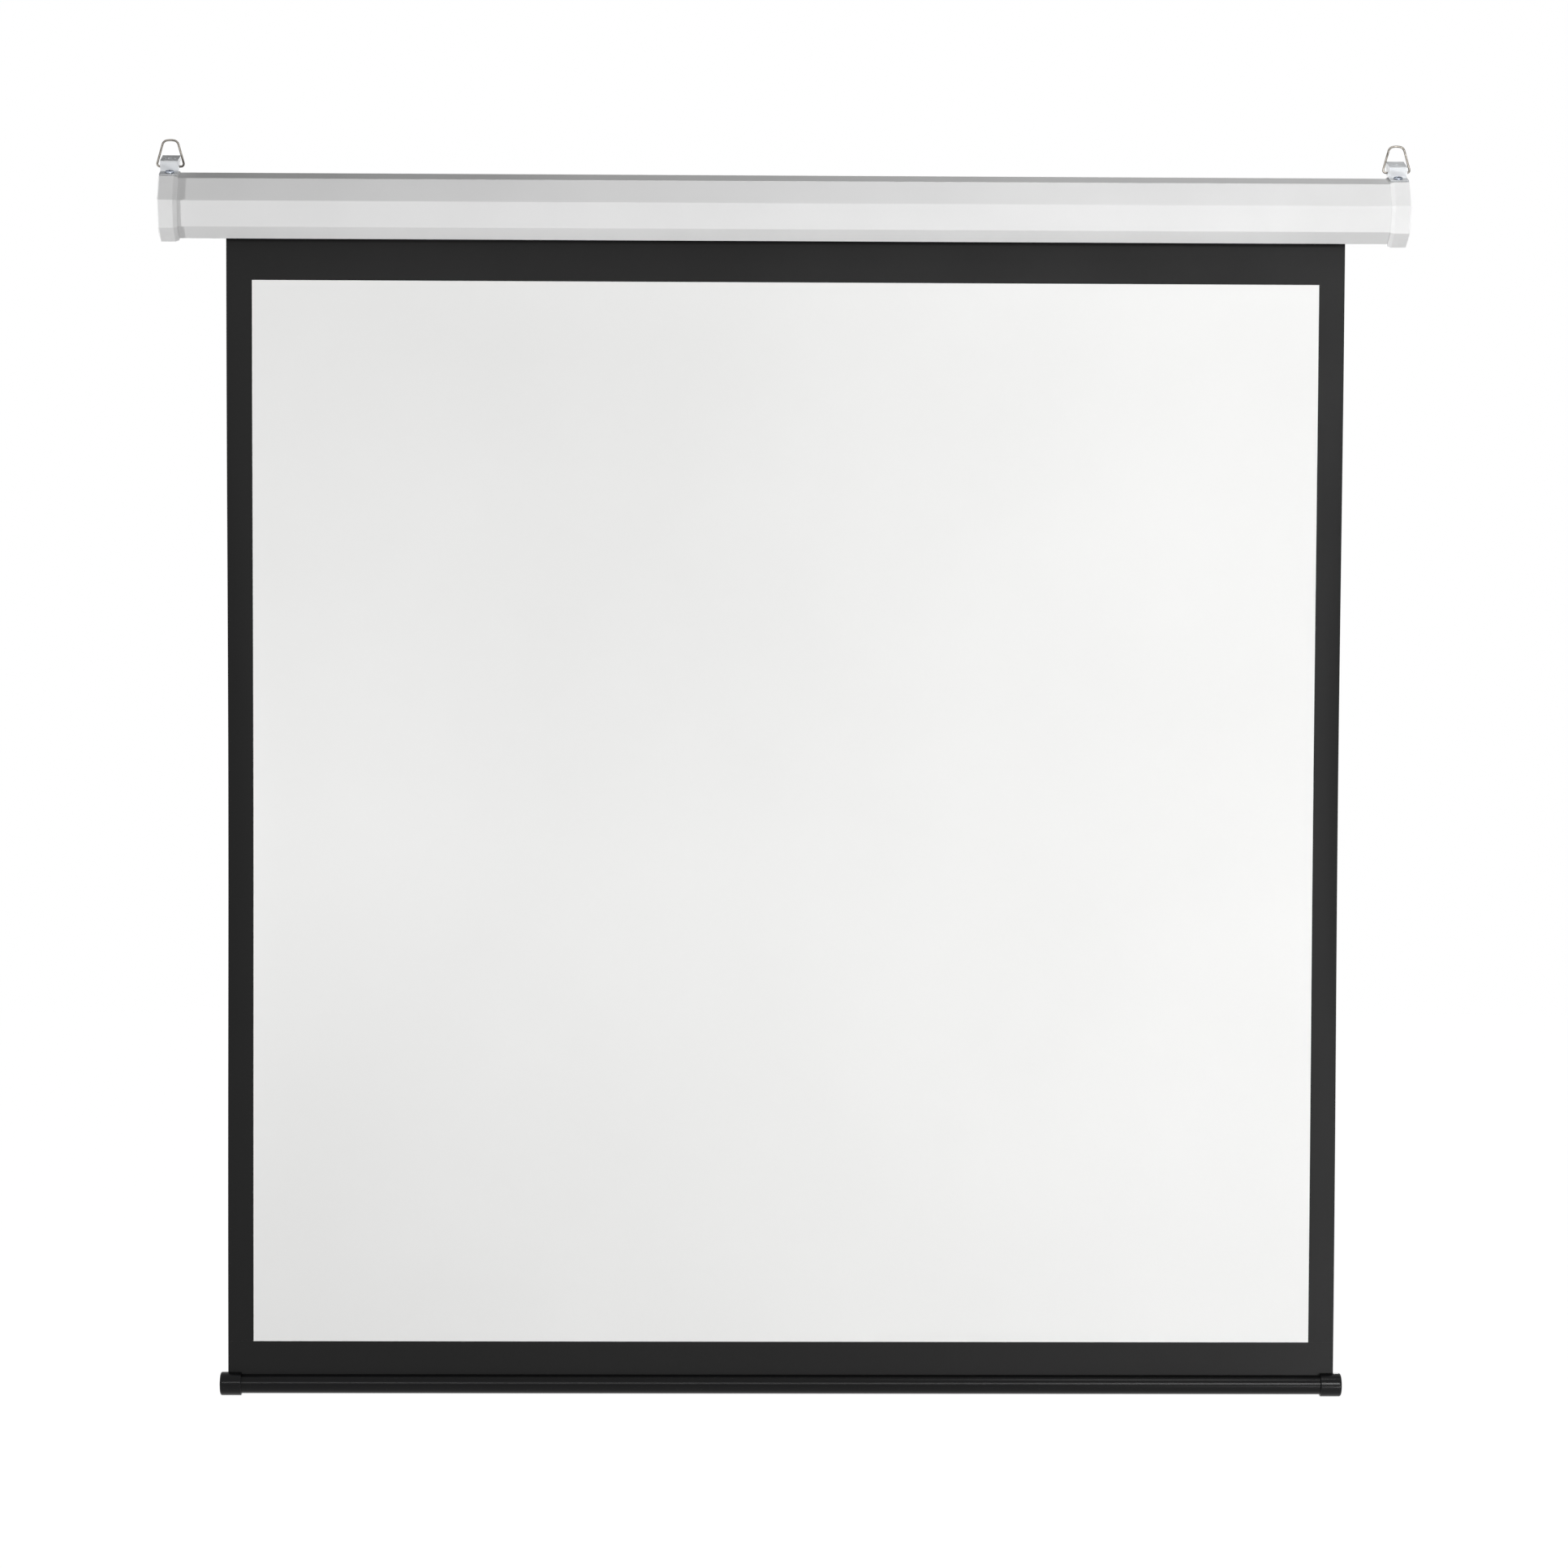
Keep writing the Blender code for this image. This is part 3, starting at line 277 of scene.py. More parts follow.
def rounded(corners: np.ndarray, radii: np.ndarray, steps: int, closed: bool = True) -> np.ndarray:
    """Rounds each corner of an outline with an arc that touches both of its sides.

    At a corner whose sides meet at the angle a, the arc of radius r starts r / tan(a / 2) from
    the corner, and its centre is r / sin(a / 2) away along the bisector. The points in between
    are spherical interpolations of the two radii that reach the sides. An arc takes less than
    half of either side, so that two of them never cross, and a straight corner gets none.

    Args:
        corners: The outline's corners, one row each.
        radii: One radius for each corner; 0 keeps it sharp.
        steps: Points in each arc, less one.
        closed: Whether the last corner joins the first. An open outline's ends stay as they are.

    Returns:
        The rounded outline, one row for each point, without repeated points.
    """
    most_of_side, straight = 0.49, 1.5707
    back = np.roll(corners, 1, axis=0) - corners
    ahead = np.roll(corners, -1, axis=0) - corners
    radii = np.array(radii, float)
    if not closed:
        back[0] = -ahead[0]
        ahead[-1] = -back[-1]
        radii[[0, -1]] = 0.0
    room = most_of_side * np.minimum(np.linalg.norm(back, axis=1),
                                     np.linalg.norm(ahead, axis=1))
    back /= np.linalg.norm(back, axis=1, keepdims=True)
    ahead /= np.linalg.norm(ahead, axis=1, keepdims=True)
    half = np.arccos(np.clip((back * ahead).sum(axis=1), -1.0, 1.0)) / 2.0
    flat = half > straight
    half = np.where(flat, 1.0, half)
    reach = np.where(flat, 0.0, np.minimum(radii / np.tan(half), room))[:, None]
    radius = reach[:, 0] * np.tan(half)
    bisector = np.where(flat[:, None], 0.0, back + ahead)
    bisector /= np.maximum(np.linalg.norm(bisector, axis=1, keepdims=True), 1e-12)
    centre = corners + bisector * (radius / np.sin(half))[:, None]
    first = (corners + back * reach - centre)[:, None, :]
    last = (corners + ahead * reach - centre)[:, None, :]
    sweep = (math.pi - 2.0 * half)[:, None, None]
    share = np.linspace(0.0, 1.0, steps + 1)[None, :, None]
    arc = (first * np.sin((1.0 - share) * sweep) + last * np.sin(share * sweep)) / np.sin(sweep)
    points = (centre[:, None, :] + arc).reshape(-1, corners.shape[1])
    step = np.linalg.norm(points - np.roll(points, 1, axis=0), axis=1)
    if not closed:
        step[0] = 1.0
    return points[step > NEW_DOUBLES]


def beside(path: np.ndarray, distance: float) -> np.ndarray:
    """Moves an open path to its right: each point goes along the mitre of its two sides.

    Args:
        path: The path's points, one row each.
        distance: How far to move, measured square to the sides.

    Returns:
        The moved path.
    """
    side = np.diff(path, axis=0)
    side /= np.linalg.norm(side, axis=1, keepdims=True)
    normal = np.stack([side[:, 1], -side[:, 0]], axis=1)
    before = np.vstack([normal[:1], normal])
    after = np.vstack([normal, normal[-1:]])
    mitre = before + after
    mitre /= np.linalg.norm(mitre, axis=1, keepdims=True)
    return path + mitre * (distance / (mitre * before).sum(axis=1))[:, None]


def closed_strip(path: np.ndarray, wall: float) -> np.ndarray:
    """Gives an open path a wall: the path, then the path moved to its right and turned back."""
    return np.vstack([path, beside(path, wall)[::-1]])


def along_x(outline: np.ndarray, stations: np.ndarray) -> np.ndarray:
    """Carries a (y, z) outline along X: point (i, j) is (stations[i], outline[j]).

    Args:
        outline: The outline's points, one row each.
        stations: Places along X.

    Returns:
        The grid of points, (stations, outline, 3).
    """
    grid = np.empty((len(stations), len(outline), 3))
    grid[:, :, 0] = np.asarray(stations)[:, None]
    grid[:, :, 1:] = outline[None, :, :]
    return grid


def lathe(profile: np.ndarray, steps: int) -> np.ndarray:
    """Turns a profile round X: point (i, j) is (place i, radius i cos t, radius i sin t).

    Args:
        profile: Rows of place along the axis and radius.
        steps: Points round the axis; t runs over the whole turn in equal steps.

    Returns:
        The grid of points, (profile, steps, 3).
    """
    turn = np.arange(steps) * TAU / steps
    return np.stack([np.repeat(profile[:, :1], steps, axis=1),
                     profile[:, 1:] * np.cos(turn), profile[:, 1:] * np.sin(turn)], axis=2)


def piece(name: str, grids: list, finishes: list, wrap: bool = True, caps: bool = True,
          sharp: float = 32.0, chosen: Optional[np.ndarray] = None) -> bpy.types.Object:
    """Makes a mesh object of one or more grids of points.

    Each grid is skinned with quads between its neighbours, (i, j) to (i + 1, j + 1). Doubles
    are merged and the normals turned outwards.

    Args:
        name: The object's name.
        grids: Arrays of points, (rows, columns, 3), in metres in the row's frame.
        finishes: The finishes that the piece wears.
        wrap: Whether the last column joins the first.
        caps: Whether the first and last rows are closed with a face.
        sharp: Angle in degrees above which an edge is drawn sharp.
        chosen: For each quad of the first grid, the number of its finish.

    Returns:
        The new object.
    """
    points, faces = [], []
    for grid in grids:
        start = sum(len(block) for block in points)
        rows, columns = grid.shape[:2]
        number = start + np.arange(rows * columns).reshape(rows, columns)
        after = np.roll(number, -1, axis=1) if wrap else number[:, 1:]
        here = number if wrap else number[:, :-1]
        quads = np.stack([here[:-1], after[:-1], after[1:], here[1:]], axis=2)
        faces += quads.reshape(-1, 4).tolist()
        if caps:
            faces += [number[0].tolist(), number[-1].tolist()]
        points.append(grid.reshape(-1, 3))
    mesh = bpy.data.meshes.new(name)
    mesh.from_pydata(np.vstack(points).tolist(), [], faces)
    for item in finishes:
        mesh.materials.append(item.material())
    if chosen is not None:
        numbers = np.zeros(len(mesh.polygons), np.int32)
        numbers[:chosen.size] = chosen.ravel()
        mesh.polygons.foreach_set("material_index", numbers)
    shape = bmesh.new()
    shape.from_mesh(mesh)
    bmesh.ops.remove_doubles(shape, verts=shape.verts, dist=NEW_DOUBLES)
    bmesh.ops.recalc_face_normals(shape, faces=shape.faces)
    shape.to_mesh(mesh)
    shape.free()
    mesh.shade_smooth()
    mesh.set_sharp_from_angle(angle=math.radians(sharp))
    made = bpy.data.objects.new(name, mesh)
    bpy.context.scene.collection.objects.link(made)
    LOG.info("%s: %d faces", name, len(mesh.polygons))
    return made


def flatten(made: bpy.types.Object) -> None:
    """Weighs a piece's normals by face area, so its flats are drawn flat up to their bends.

    Args:
        made: The piece.
    """
    weighed = made.modifiers.new("flat_faces", "WEIGHTED_NORMAL")
    weighed.mode = "FACE_AREA"
    weighed.weight = 100
    weighed.keep_sharp = True


def softened(node: str, name: str, finish: Finish, edge: float, crease: float = 180.0
             ) -> bpy.types.Object:
    """Copies a CAD node, merges it and rounds its edges, for forms cut by holes and rooms.

    Args:
        node: The CAD node.
        name: The new piece's name.
        finish: Its finish.
        edge: Radius of the rounded edges, in metres.
        crease: Angle in degrees above which a shallow edge is drawn as a crease.

    Returns:
        The new piece, which stands for the node.
    """
    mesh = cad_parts[node].data.copy()
    mesh.name = name
    mesh.materials.clear()
    mesh.materials.append(finish.material())
    shape = bmesh.new()
    shape.from_mesh(mesh)
    bmesh.ops.remove_doubles(shape, verts=shape.verts, dist=SOLID_DOUBLES)
    bmesh.ops.dissolve_limit(shape, angle_limit=SAME_FLAT, verts=shape.verts,
                             edges=shape.edges)
    shape.to_mesh(mesh)
    shape.free()
    mesh.shade_smooth()
    mesh.set_sharp_from_angle(angle=math.radians(crease))
    made = bpy.data.objects.new(name, mesh)
    bpy.context.scene.collection.objects.link(made)
    bevel = made.modifiers.new("rounded_edges", "BEVEL")
    bevel.width = edge
    bevel.segments = 3
    bevel.limit_method = "ANGLE"
    bevel.angle_limit = ROUNDED_EDGE
    bevel.use_clamp_overlap = False
    flatten(made)
    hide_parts(node)
    LOG.info("%s: %d faces", name, len(mesh.polygons))
    return made


@dataclass(frozen=True)
class CaseFrame:
    """The case's own upright frame, and how it leans in the row's frame.

    Attributes:
        lean: How far the case leans forward.
        centre_y: Its middle, towards the wall.
        centre_z: Height of its middle.
    """

    lean: float = math.radians(16.5)
    centre_y: float = -2.967 * MM
    centre_z: float = -75.868 * MM

    def placed(self, grid: np.ndarray) -> np.ndarray:
        """Turns points about X by the lean and moves them to the case's centre.

        Args:
            grid: Points in the case's frame, last axis x, y, z.

        Returns:
            The points in the row's frame.
        """
        turn, rise = math.cos(self.lean), math.sin(self.lean)
        x, y, z = np.moveaxis(grid, -1, 0)
        return np.stack([x, y * turn - z * rise + self.centre_y,
                         z * turn + y * rise + self.centre_z], axis=-1)


@dataclass(frozen=True)
class Case:
    """Folded steel case: eight flats, and a lip turned up on each side of the slot.

    Attributes:
        flats: Width over opposite flats.
        drop: How far the bottom flat is below the middle.
        wall: Thickness of the sheet steel.
        bend: Outer radius of each bend.
        lip_width: Width of the bottom flat on each side of the slot.
        lip_rise: Height of the turned-up lips.
        half_length: Half the case's length.
        bend_steps: Points in each bend, less one.
        stations: Rows of points along the case.
    """

    flats: float = 74.0 * MM
    drop: float = 33.4 * MM
    wall: float = 0.8 * MM
    bend: float = 1.4 * MM
    lip_width: float = 2.6 * MM
    lip_rise: float = 6.0 * MM
    half_length: float = 722.2 * MM
    bend_steps: int = 7
    stations: int = 25

    def outline(self) -> np.ndarray:
        """Runs round the case from the front lip's top to the back lip's, and adds the wall.

        The flats are an octagon's, half of each being the tangent of 22.5 degrees times half the
        width. The bottom one is raised to the drop, and each of its sides widens by that much.

        Returns:
            The closed outline in (y, z).
        """
        half = self.flats / 2.0
        side = half * math.tan(math.pi / 8.0)
        low = half + side - self.drop
        lip = low - self.lip_width
        top = self.lip_rise - self.drop
        corners = np.array([(-lip, top), (-lip, -self.drop), (-low, -self.drop), (-half, -side),
                            (-half, side), (-side, half), (side, half), (half, side),
                            (half, -side), (low, -self.drop), (lip, -self.drop), (lip, top)])
        path = rounded(corners, np.full(len(corners), self.bend), self.bend_steps, closed=False)
        return closed_strip(path, self.wall)

    def build(self, place: CaseFrame) -> None:
        """Builds the case's shell and puts it on the housing.

        Args:
            place: The case's frame.
        """
        places = np.linspace(-self.half_length, self.half_length, self.stations)
        grid = place.placed(along_x(self.outline(), places))
        shell = piece("folded_case", [grid], [CASE_WHITE], sharp=40.0)
        flatten(shell)
        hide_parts("case_shell")
        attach(shell, "housing")


class Drive(Enum):
    """Which way a screw is driven."""

    DOWN = "down through the bracket's foot, square to the case's top"
    INWARDS = "inwards through the end cap, along X"


@dataclass(frozen=True)
class Screw:
    """A pan-head screw with a cross recess, in place of the plain one of the solids.

    Attributes:
        drive: Which way it is driven.
        head_radius: Radius of the head.
        head_height: Height of the head over its seat.
        shank_radius: Radius of the shank.
        length: Length under the head.
        recess_share: The recess's reach, as a share of the head's radius.
        rim_share: Height of the head's rim, as a share of its whole height.
        recess_depth: Depth of the recess in its middle.
        recess_width: Width of the recess's arms.
        dome_share: Radius of the dome's last ring, as a share of the head's.
        arm_end: Where an arm's share of the cross is 0, in half widths from its middle line.
        reach_slope: How steeply the cross's share falls to 0 at its reach.
        end_depth: Depth of the recess at its reach, as a share of that in the middle.
        painted_shade_from: Sum of two neighbouring shares from which a face wears the recess's
            painted shade.
        upper_share: Radius at the rim's upper edge, as a share of the head's.
        widest_share: Height where the head is widest, as a share of its height.
        tip_share: Radius of the shank's tip, as a share of the shank's.
        bends: Bend radius at each corner of the underside's profile, in millimetres.
        rings: Rings of points over the head.
        steps: Points round the axis.
    """

    drive: Drive
    head_radius: float
    head_height: float
    shank_radius: float
    length: float
    recess_share: float
    rim_share: float = 0.45
    recess_depth: float = 1.4 * MM
    recess_width: float = 1.3 * MM
    dome_share: float = 0.97
    arm_end: float = 1.6
    reach_slope: float = 4.0
    end_depth: float = 0.5
    painted_shade_from: float = 0.8
    upper_share: float = 0.985
    widest_share: float = 0.3
    tip_share: float = 0.3
    bends: tuple = (0.0, 0.3, 0.35, 0.2, 0.2, 0.0, 0.0)
    rings: int = 22
    steps: int = 48

    def head(self) -> tuple[np.ndarray, np.ndarray]:
        """Draws the head's top as a dome that dips along the arms of a cross.

        The rings' radii go as the sine of an even share, up to just inside the rim. The dome
        falls with the radius as a half ellipse does, from the full height to the rim's. The
        cross's share is 1 along either arm and falls to 0 at its sides and at its reach, and
        the height at a point is the dome's less the recess's depth times that share. The depth
        falls evenly from the middle to the reach.

        Returns:
            The grid of points with X out of the head, and the cross's share at each.
        """
        share = np.linspace(0.0, 1.0, self.rings)[:, None]
        turn = (np.arange(self.steps) * TAU / self.steps)[None, :]
        radius = self.dome_share * self.head_radius * np.sin(share * math.pi / 2.0)
        across, up = radius * np.cos(turn), radius * np.sin(turn)
        ellipse = np.sqrt(1.0 - (radius / self.head_radius) ** 2)
        dome = self.head_height * (self.rim_share + (1.0 - self.rim_share) * ellipse)
        beside_arm = np.minimum(np.abs(across), np.abs(up)) / (self.recess_width / 2.0)
        reach = np.hypot(across, up) / (self.recess_share * self.head_radius)
        cross = (np.clip(self.arm_end - beside_arm, 0.0, 1.0)
                 * np.clip((1.0 - reach) * self.reach_slope, 0.0, 1.0))
        lost = (1.0 - self.end_depth) * np.clip(reach, 0.0, 1.0)
        dip = self.recess_depth * cross * (1.0 - lost)
        return np.stack([dome - dip, across, up], axis=2), cross

    def underside(self) -> np.ndarray:
        """Runs down the head's rim, in under its seat and along the shank to the tip's middle.

        Returns:
            Rows of place along the axis and radius.
        """
        tip = self.tip_share * self.shank_radius
        corners = np.array([(self.rim_share * self.head_height,
                             self.upper_share * self.head_radius),
                            (self.widest_share * self.head_height, self.head_radius),
                            (0.0, self.head_radius), (0.0, self.shank_radius),
                            (self.shank_radius - self.length, self.shank_radius),
                            (-self.length, tip), (-self.length, 0.0)])
        return rounded(corners, np.array(self.bends) * MM, 3, closed=False)

    def build(self, name: str, node: str, seat: np.ndarray, side: float) -> None:
        """Builds the screw on its seat and puts it on the housing.

        Args:
            name: The piece's name.
            node: The solid that it stands for.
            seat: Middle of its seat: in the case's frame for a screw driven down, and
                otherwise in the row's.
            side: -1 for the left end, +1 for the right end.
        """
        top, cross = self.head()
        grid = np.concatenate([top, lathe(self.underside(), self.steps)], axis=0)
        chosen = np.zeros((len(grid) - 1, self.steps), np.int32)
        # Faces deep in the cross get the second finish: painted shade for the dark recess
        chosen[:len(top) - 1] = (cross[:-1] + cross[1:]) > self.painted_shade_from
        out, across, up = np.moveaxis(grid, -1, 0)
        if self.drive is Drive.DOWN:
            grid = CaseFrame().placed(np.stack([across, up, out], axis=-1) + seat)
        else:
            grid = np.stack([side * out, across, up], axis=-1) + seat
        made = piece(name, [grid], [SCREW_ZINC, RECESS_PAINTED_SHADE], caps=False, sharp=50.0,
                     chosen=chosen)
        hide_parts(node)
        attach(made, "housing")


@dataclass(frozen=True)
class Ends:
    """The end caps and hanger brackets, with the screws that hold them.

    Attributes:
        cap_edge: Radius of the caps' edges.
        cap_crease: Angle in degrees above which the caps' shoulders are drawn as creases.
        bracket_edge: Radius of the brackets' edges.
        foot_screw: The screw through each bracket's foot.
        foot_seat: Its seat in the case's frame, behind and above the case's middle.
        plate_screw: The sunk screws through each cap into the plate behind it.
        plate_seat: How far their seats are from the middle of the screen.
    """

    cap_edge: float = 0.3 * MM
    cap_crease: float = 20.0
    bracket_edge: float = 0.4 * MM
    foot_screw: Screw = Screw(Drive.DOWN, 5.2 * MM, 2.9 * MM, 2.0 * MM, 9.0 * MM, 0.6)
    foot_seat: tuple[float, float] = (-8.4614 * MM, 41.6 * MM)
    plate_screw: Screw = Screw(Drive.INWARDS, 3.6 * MM, 2.0 * MM, 1.7 * MM, 7.0 * MM, 0.62)
    plate_seat: float = 724.5 * MM

    def middle(self, node: str) -> np.ndarray:
        """Middle of a solid's box."""
        low, high = (np.array(corner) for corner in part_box(node))
        return (low + high) / 2.0

    def build(self) -> None:
        """Builds both ends."""
        for side, word in ((-1.0, "left"), (1.0, "right")):
            cap = softened(f"end_cap_{word}", f"moulded_end_cap_{word}", CAP_WHITE, self.cap_edge,
                           self.cap_crease)
            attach(cap, "housing")
            bracket = softened(f"hanger_bracket_{word}", f"pressed_bracket_{word}", BRACKET_GREY,
                               self.bracket_edge)
            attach(bracket, "housing")
            node = f"bracket_screw_{word}"
            self.foot_screw.build(f"foot_screw_{word}", node,
                                  np.array([self.middle(node)[0], *self.foot_seat]), side)
            for height in ("upper", "lower"):
                node = f"cap_screw_{word}_{height}"
                self.plate_screw.build(f"plate_screw_{word}_{height}", node,
                                       np.array([side * self.plate_seat,
                                                 *self.middle(node)[1:]]), side)


@dataclass(frozen=True)
class HangingRing:
    """One bent wire ring, its two ends turned in through the bracket's ears.

    Attributes:
        wire: Radius of the wire.
        place_x: Distance of the ring's middle from the middle of the screen.
        end: Distance of the wire's ends from the ring's middle.
        corner: Half the ring's width at its foot.
        shoulder_x: Half its width at the shoulders.
        shoulder_z: Height of the shoulders over the wire's ends.
        crown_z: Height of the crown over the wire's ends.
        bends: Bend radius at each corner of the centre line, in millimetres.
        end_round: How far each end is rounded off, as a share of the wire's radius.
        steps: Points in each bend, less one.
        round_steps: Points round the wire.
    """

    wire: float = 1.2 * MM
    place_x: float = 715.5 * MM
    end: float = 7.4 * MM
    corner: float = 16.4 * MM
    shoulder_x: float = 8.2 * MM
    shoulder_z: float = 29.4 * MM
    crown_z: float = 31.0 * MM
    bends: tuple = (0.0, 3.2, 6.5, 24.0, 6.5, 3.2, 0.0)
    end_round: float = 0.3
    steps: int = 10
    round_steps: int = 20

    def build(self, word: str, side: float) -> None:
        """Builds the wire as a tube round its centre line.

        The point at turn t round a centre-line point with in-plane normal n is the point plus
        the wire's radius times (cos t n + sin t Y). Each end has two smaller turns, which
        round it off.

        Args:
            word: "left" or "right".
            side: -1 or +1.
        """
        half = [(-self.end, 0.0), (-self.corner, 0.0), (-self.shoulder_x, self.shoulder_z)]
        corners = np.array(half + [(0.0, self.crown_z)] + [(-x, z) for x, z in half[::-1]])
        line = rounded(corners, np.array(self.bends) * MM, self.steps, closed=False)
        crown = line[:, 1].max() - self.wire
        tangent = np.gradient(line, axis=0)
        tangent /= np.linalg.norm(tangent, axis=1, keepdims=True)
        round_off = self.end_round * self.wire
        line = np.vstack([line[:1] - tangent[:1] * round_off, line,
                          line[-1:] + tangent[-1:] * round_off])
        tangent = np.vstack([tangent[:1], tangent, tangent[-1:]])
        radius = np.full(len(line), self.wire)
        radius[[0, -1]] = self.wire - round_off
        turn = np.arange(self.round_steps) * TAU / self.round_steps
        spoke = radius[:, None] * np.cos(turn)[None, :]
        grid = np.stack([line[:, :1] - tangent[:, 1:] * spoke,
                         radius[:, None] * np.sin(turn)[None, :],
                         line[:, 1:] + tangent[:, :1] * spoke], axis=2)
        grid += np.array([side * self.place_x, 0.0, -crown])
        made = piece(f"wire_ring_{word}", [grid], [RING_NICKEL], sharp=60.0)
        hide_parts(f"ring_{word}")
        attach(made, f"ring_{word}")


@dataclass(frozen=True)
class Sheet:
    """The cloth: the hanging sheet with its hem, and the turns that stay on the roller.

    Attributes:
        width: Width of the cloth.
        middle_x: Middle of the cloth, right of the case's middle.
        thickness: Thickness of the coated cloth.
        plane_y: The plane in which the cloth hangs.
        top_z: Where the cloth leaves the roller.
        view_top: Upper edge of the white picture area.
        view_bottom: Its lower edge.
        side_border: Width of the black border on each side.
        rod_y: Hem rod's middle, in front of the cloth's plane.
        rod_z: Height of the hem rod's middle.
        rod_radius: Radius of the hem rod.
        clearance: Room between the rod and the hem.
        wrap: How far the hem goes round the rod.
        seam: Gap between the hanging part and the lower border, which rises with the bar.
        bow: How far each side draws in at half height.
        curl: How far each border curls back at half height.
        ripple: Height of the cloth's ripples.
        waves: Height, pace and phase of each sine of the ripples across the width.
        travel: How far the bar rises; not used.
        axis_y: The roller's axis, in front of the cloth's plane.
        axis_z: Height of the roller's axis.
        wound_start: Radius of the innermost turn's middle.
        wound_end: Radius where the cloth leaves the roller.
        turns: Turns that stay on the roller.
        rows: Rows of points down the picture area.
        border_rows: Rows of points down the border above it, and down the one below it.
        inner_columns: Columns from the middle to a side border.
        border_columns: Columns across a side border.
        wound_columns: Columns across the wound turns.
        loop_steps: Points round the hem.
        spiral_steps: Points along the wound turns.
    """

    width: float = 1310.0 * MM
    middle_x: float = 3.0 * MM
    thickness: float = 0.4 * MM
    plane_y: float = 9.87 * MM
    top_z: float = -76.52 * MM
    view_top: float = -159.87 * MM
    view_bottom: float = -1409.87 * MM
    side_border: float = 30.0 * MM
    rod_y: float = 6.37 * MM
    rod_z: float = -1455.45 * MM
    rod_radius: float = 3.0 * MM
    clearance: float = 0.3 * MM
    wrap: float = math.radians(320.0)
    seam: float = 0.05 * MM
    bow: float = 0.8 * MM
    curl: float = 4.0 * MM
    ripple: float = 0.7 * MM
    waves: tuple = ((1.0, 5.1, 0.6), (0.6, 11.3, 0.0))
    travel: float = 1.325
    axis_y: float = -11.205 * MM
    axis_z: float = -76.223 * MM
    wound_start: float = 19.5 * MM
    wound_end: float = 21.075 * MM
    turns: float = 2.25
    rows: int = 61
    border_rows: int = 6
    inner_columns: int = 25
    border_columns: int = 7
    wound_columns: int = 9
    loop_steps: int = 40
    spiral_steps: int = 217

    def fall(self) -> np.ndarray:
        """Runs straight down what winds in, from the roller to the picture's lower edge.

        Returns:
            The centre line in (y, z).
        """
        border = np.linspace(self.top_z, self.view_top, self.border_rows)
        view = np.linspace(self.view_top, self.view_bottom, self.rows)
        rows = np.concatenate([border, view[1:]])
        return np.stack([np.full(len(rows), self.plane_y), rows], axis=1)

    def hem_radius(self) -> float:
        """Radius of the hem's centre line round the rod."""
        return self.rod_radius + self.clearance + self.thickness / 2.0

    def foot(self) -> np.ndarray:
        """Runs down the lower border and round the hem rod, on a circle of the hem's radius.

        Returns:
            The centre line in (y, z).
        """
        rows = np.linspace(self.view_bottom - self.seam, self.rod_z, self.border_rows)[:-1]
        turn = -np.linspace(0.0, self.wrap, self.loop_steps)
        loop = np.stack([self.rod_y + self.hem_radius() * np.cos(turn),
                         self.rod_z + self.hem_radius() * np.sin(turn)], axis=1)
        return np.vstack([np.stack([np.full(len(rows), self.plane_y), rows], axis=1), loop])

    def thick(self, path: np.ndarray) -> np.ndarray:
        """Gives a centre line the cloth's thickness, half to each side, its right side first."""
        half = self.thickness / 2.0
        return np.vstack([beside(path, half), beside(path, -half)[::-1]])

    def columns(self) -> np.ndarray:
        """Spaces places evenly over the picture area, and closer together over the side borders.

        Returns:
            The places across the width, from left to right.
        """
        half = self.width / 2.0
        inner = half - self.side_border
        right = np.concatenate([np.linspace(0.0, inner, self.inner_columns),
                                np.linspace(inner, half, self.border_columns)[1:]])
        return np.concatenate([-right[:0:-1], right])

    def hung(self, across: np.ndarray, outline: np.ndarray) -> np.ndarray:
        """Carries the sheet's outline across its width and lets it hang as cloth does.

        With s the share of the way down and b the cube of sin(pi s), the width draws in by bow
        times b, the borders curl back by curl times b times the square of the share across the
        border, and the whole ripples by b times the sum of the waves across the width, which fades
        towards the bar.

        Args:
            across: Places across the width.
            outline: The (y, z) outline that is carried across.

        Returns:
            The grid (across, outline, 3).
        """
        grid = along_x(outline, across)
        share = np.clip((self.top_z - grid[:, :, 2]) / (self.top_z - self.rod_z), 0.0, 1.0)
        belly = np.sin(math.pi * share) ** 3
        half = self.width / 2.0
        aside = grid[:, :, 0] / half
        border = np.clip((np.abs(grid[:, :, 0]) - half + self.side_border) / self.side_border,
                         0.0, 1.0)
        ripple = sum(height * np.sin(aside * pace + phase) for height, pace, phase in self.waves)
        grid[:, :, 1] += belly * (self.curl * border ** 2 + self.ripple * ripple * (1.0 - share))
        grid[:, :, 0] *= 1.0 - belly * self.bow / half
        grid[:, :, 0] += self.middle_x
        return grid

    def build_foot(self) -> bpy.types.Object:
        """Builds the lower border with its hem, a piece of its own that rises with the bar.

        Returns:
            The piece, which keeps its shape while the sheet above it winds in.
        """
        grid = self.hung(self.columns(), self.thick(self.foot()))
        made = piece("sheet_foot", [grid], [SHEET_BLACK], sharp=50.0)
        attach(made, "bottom_bar")
        return made

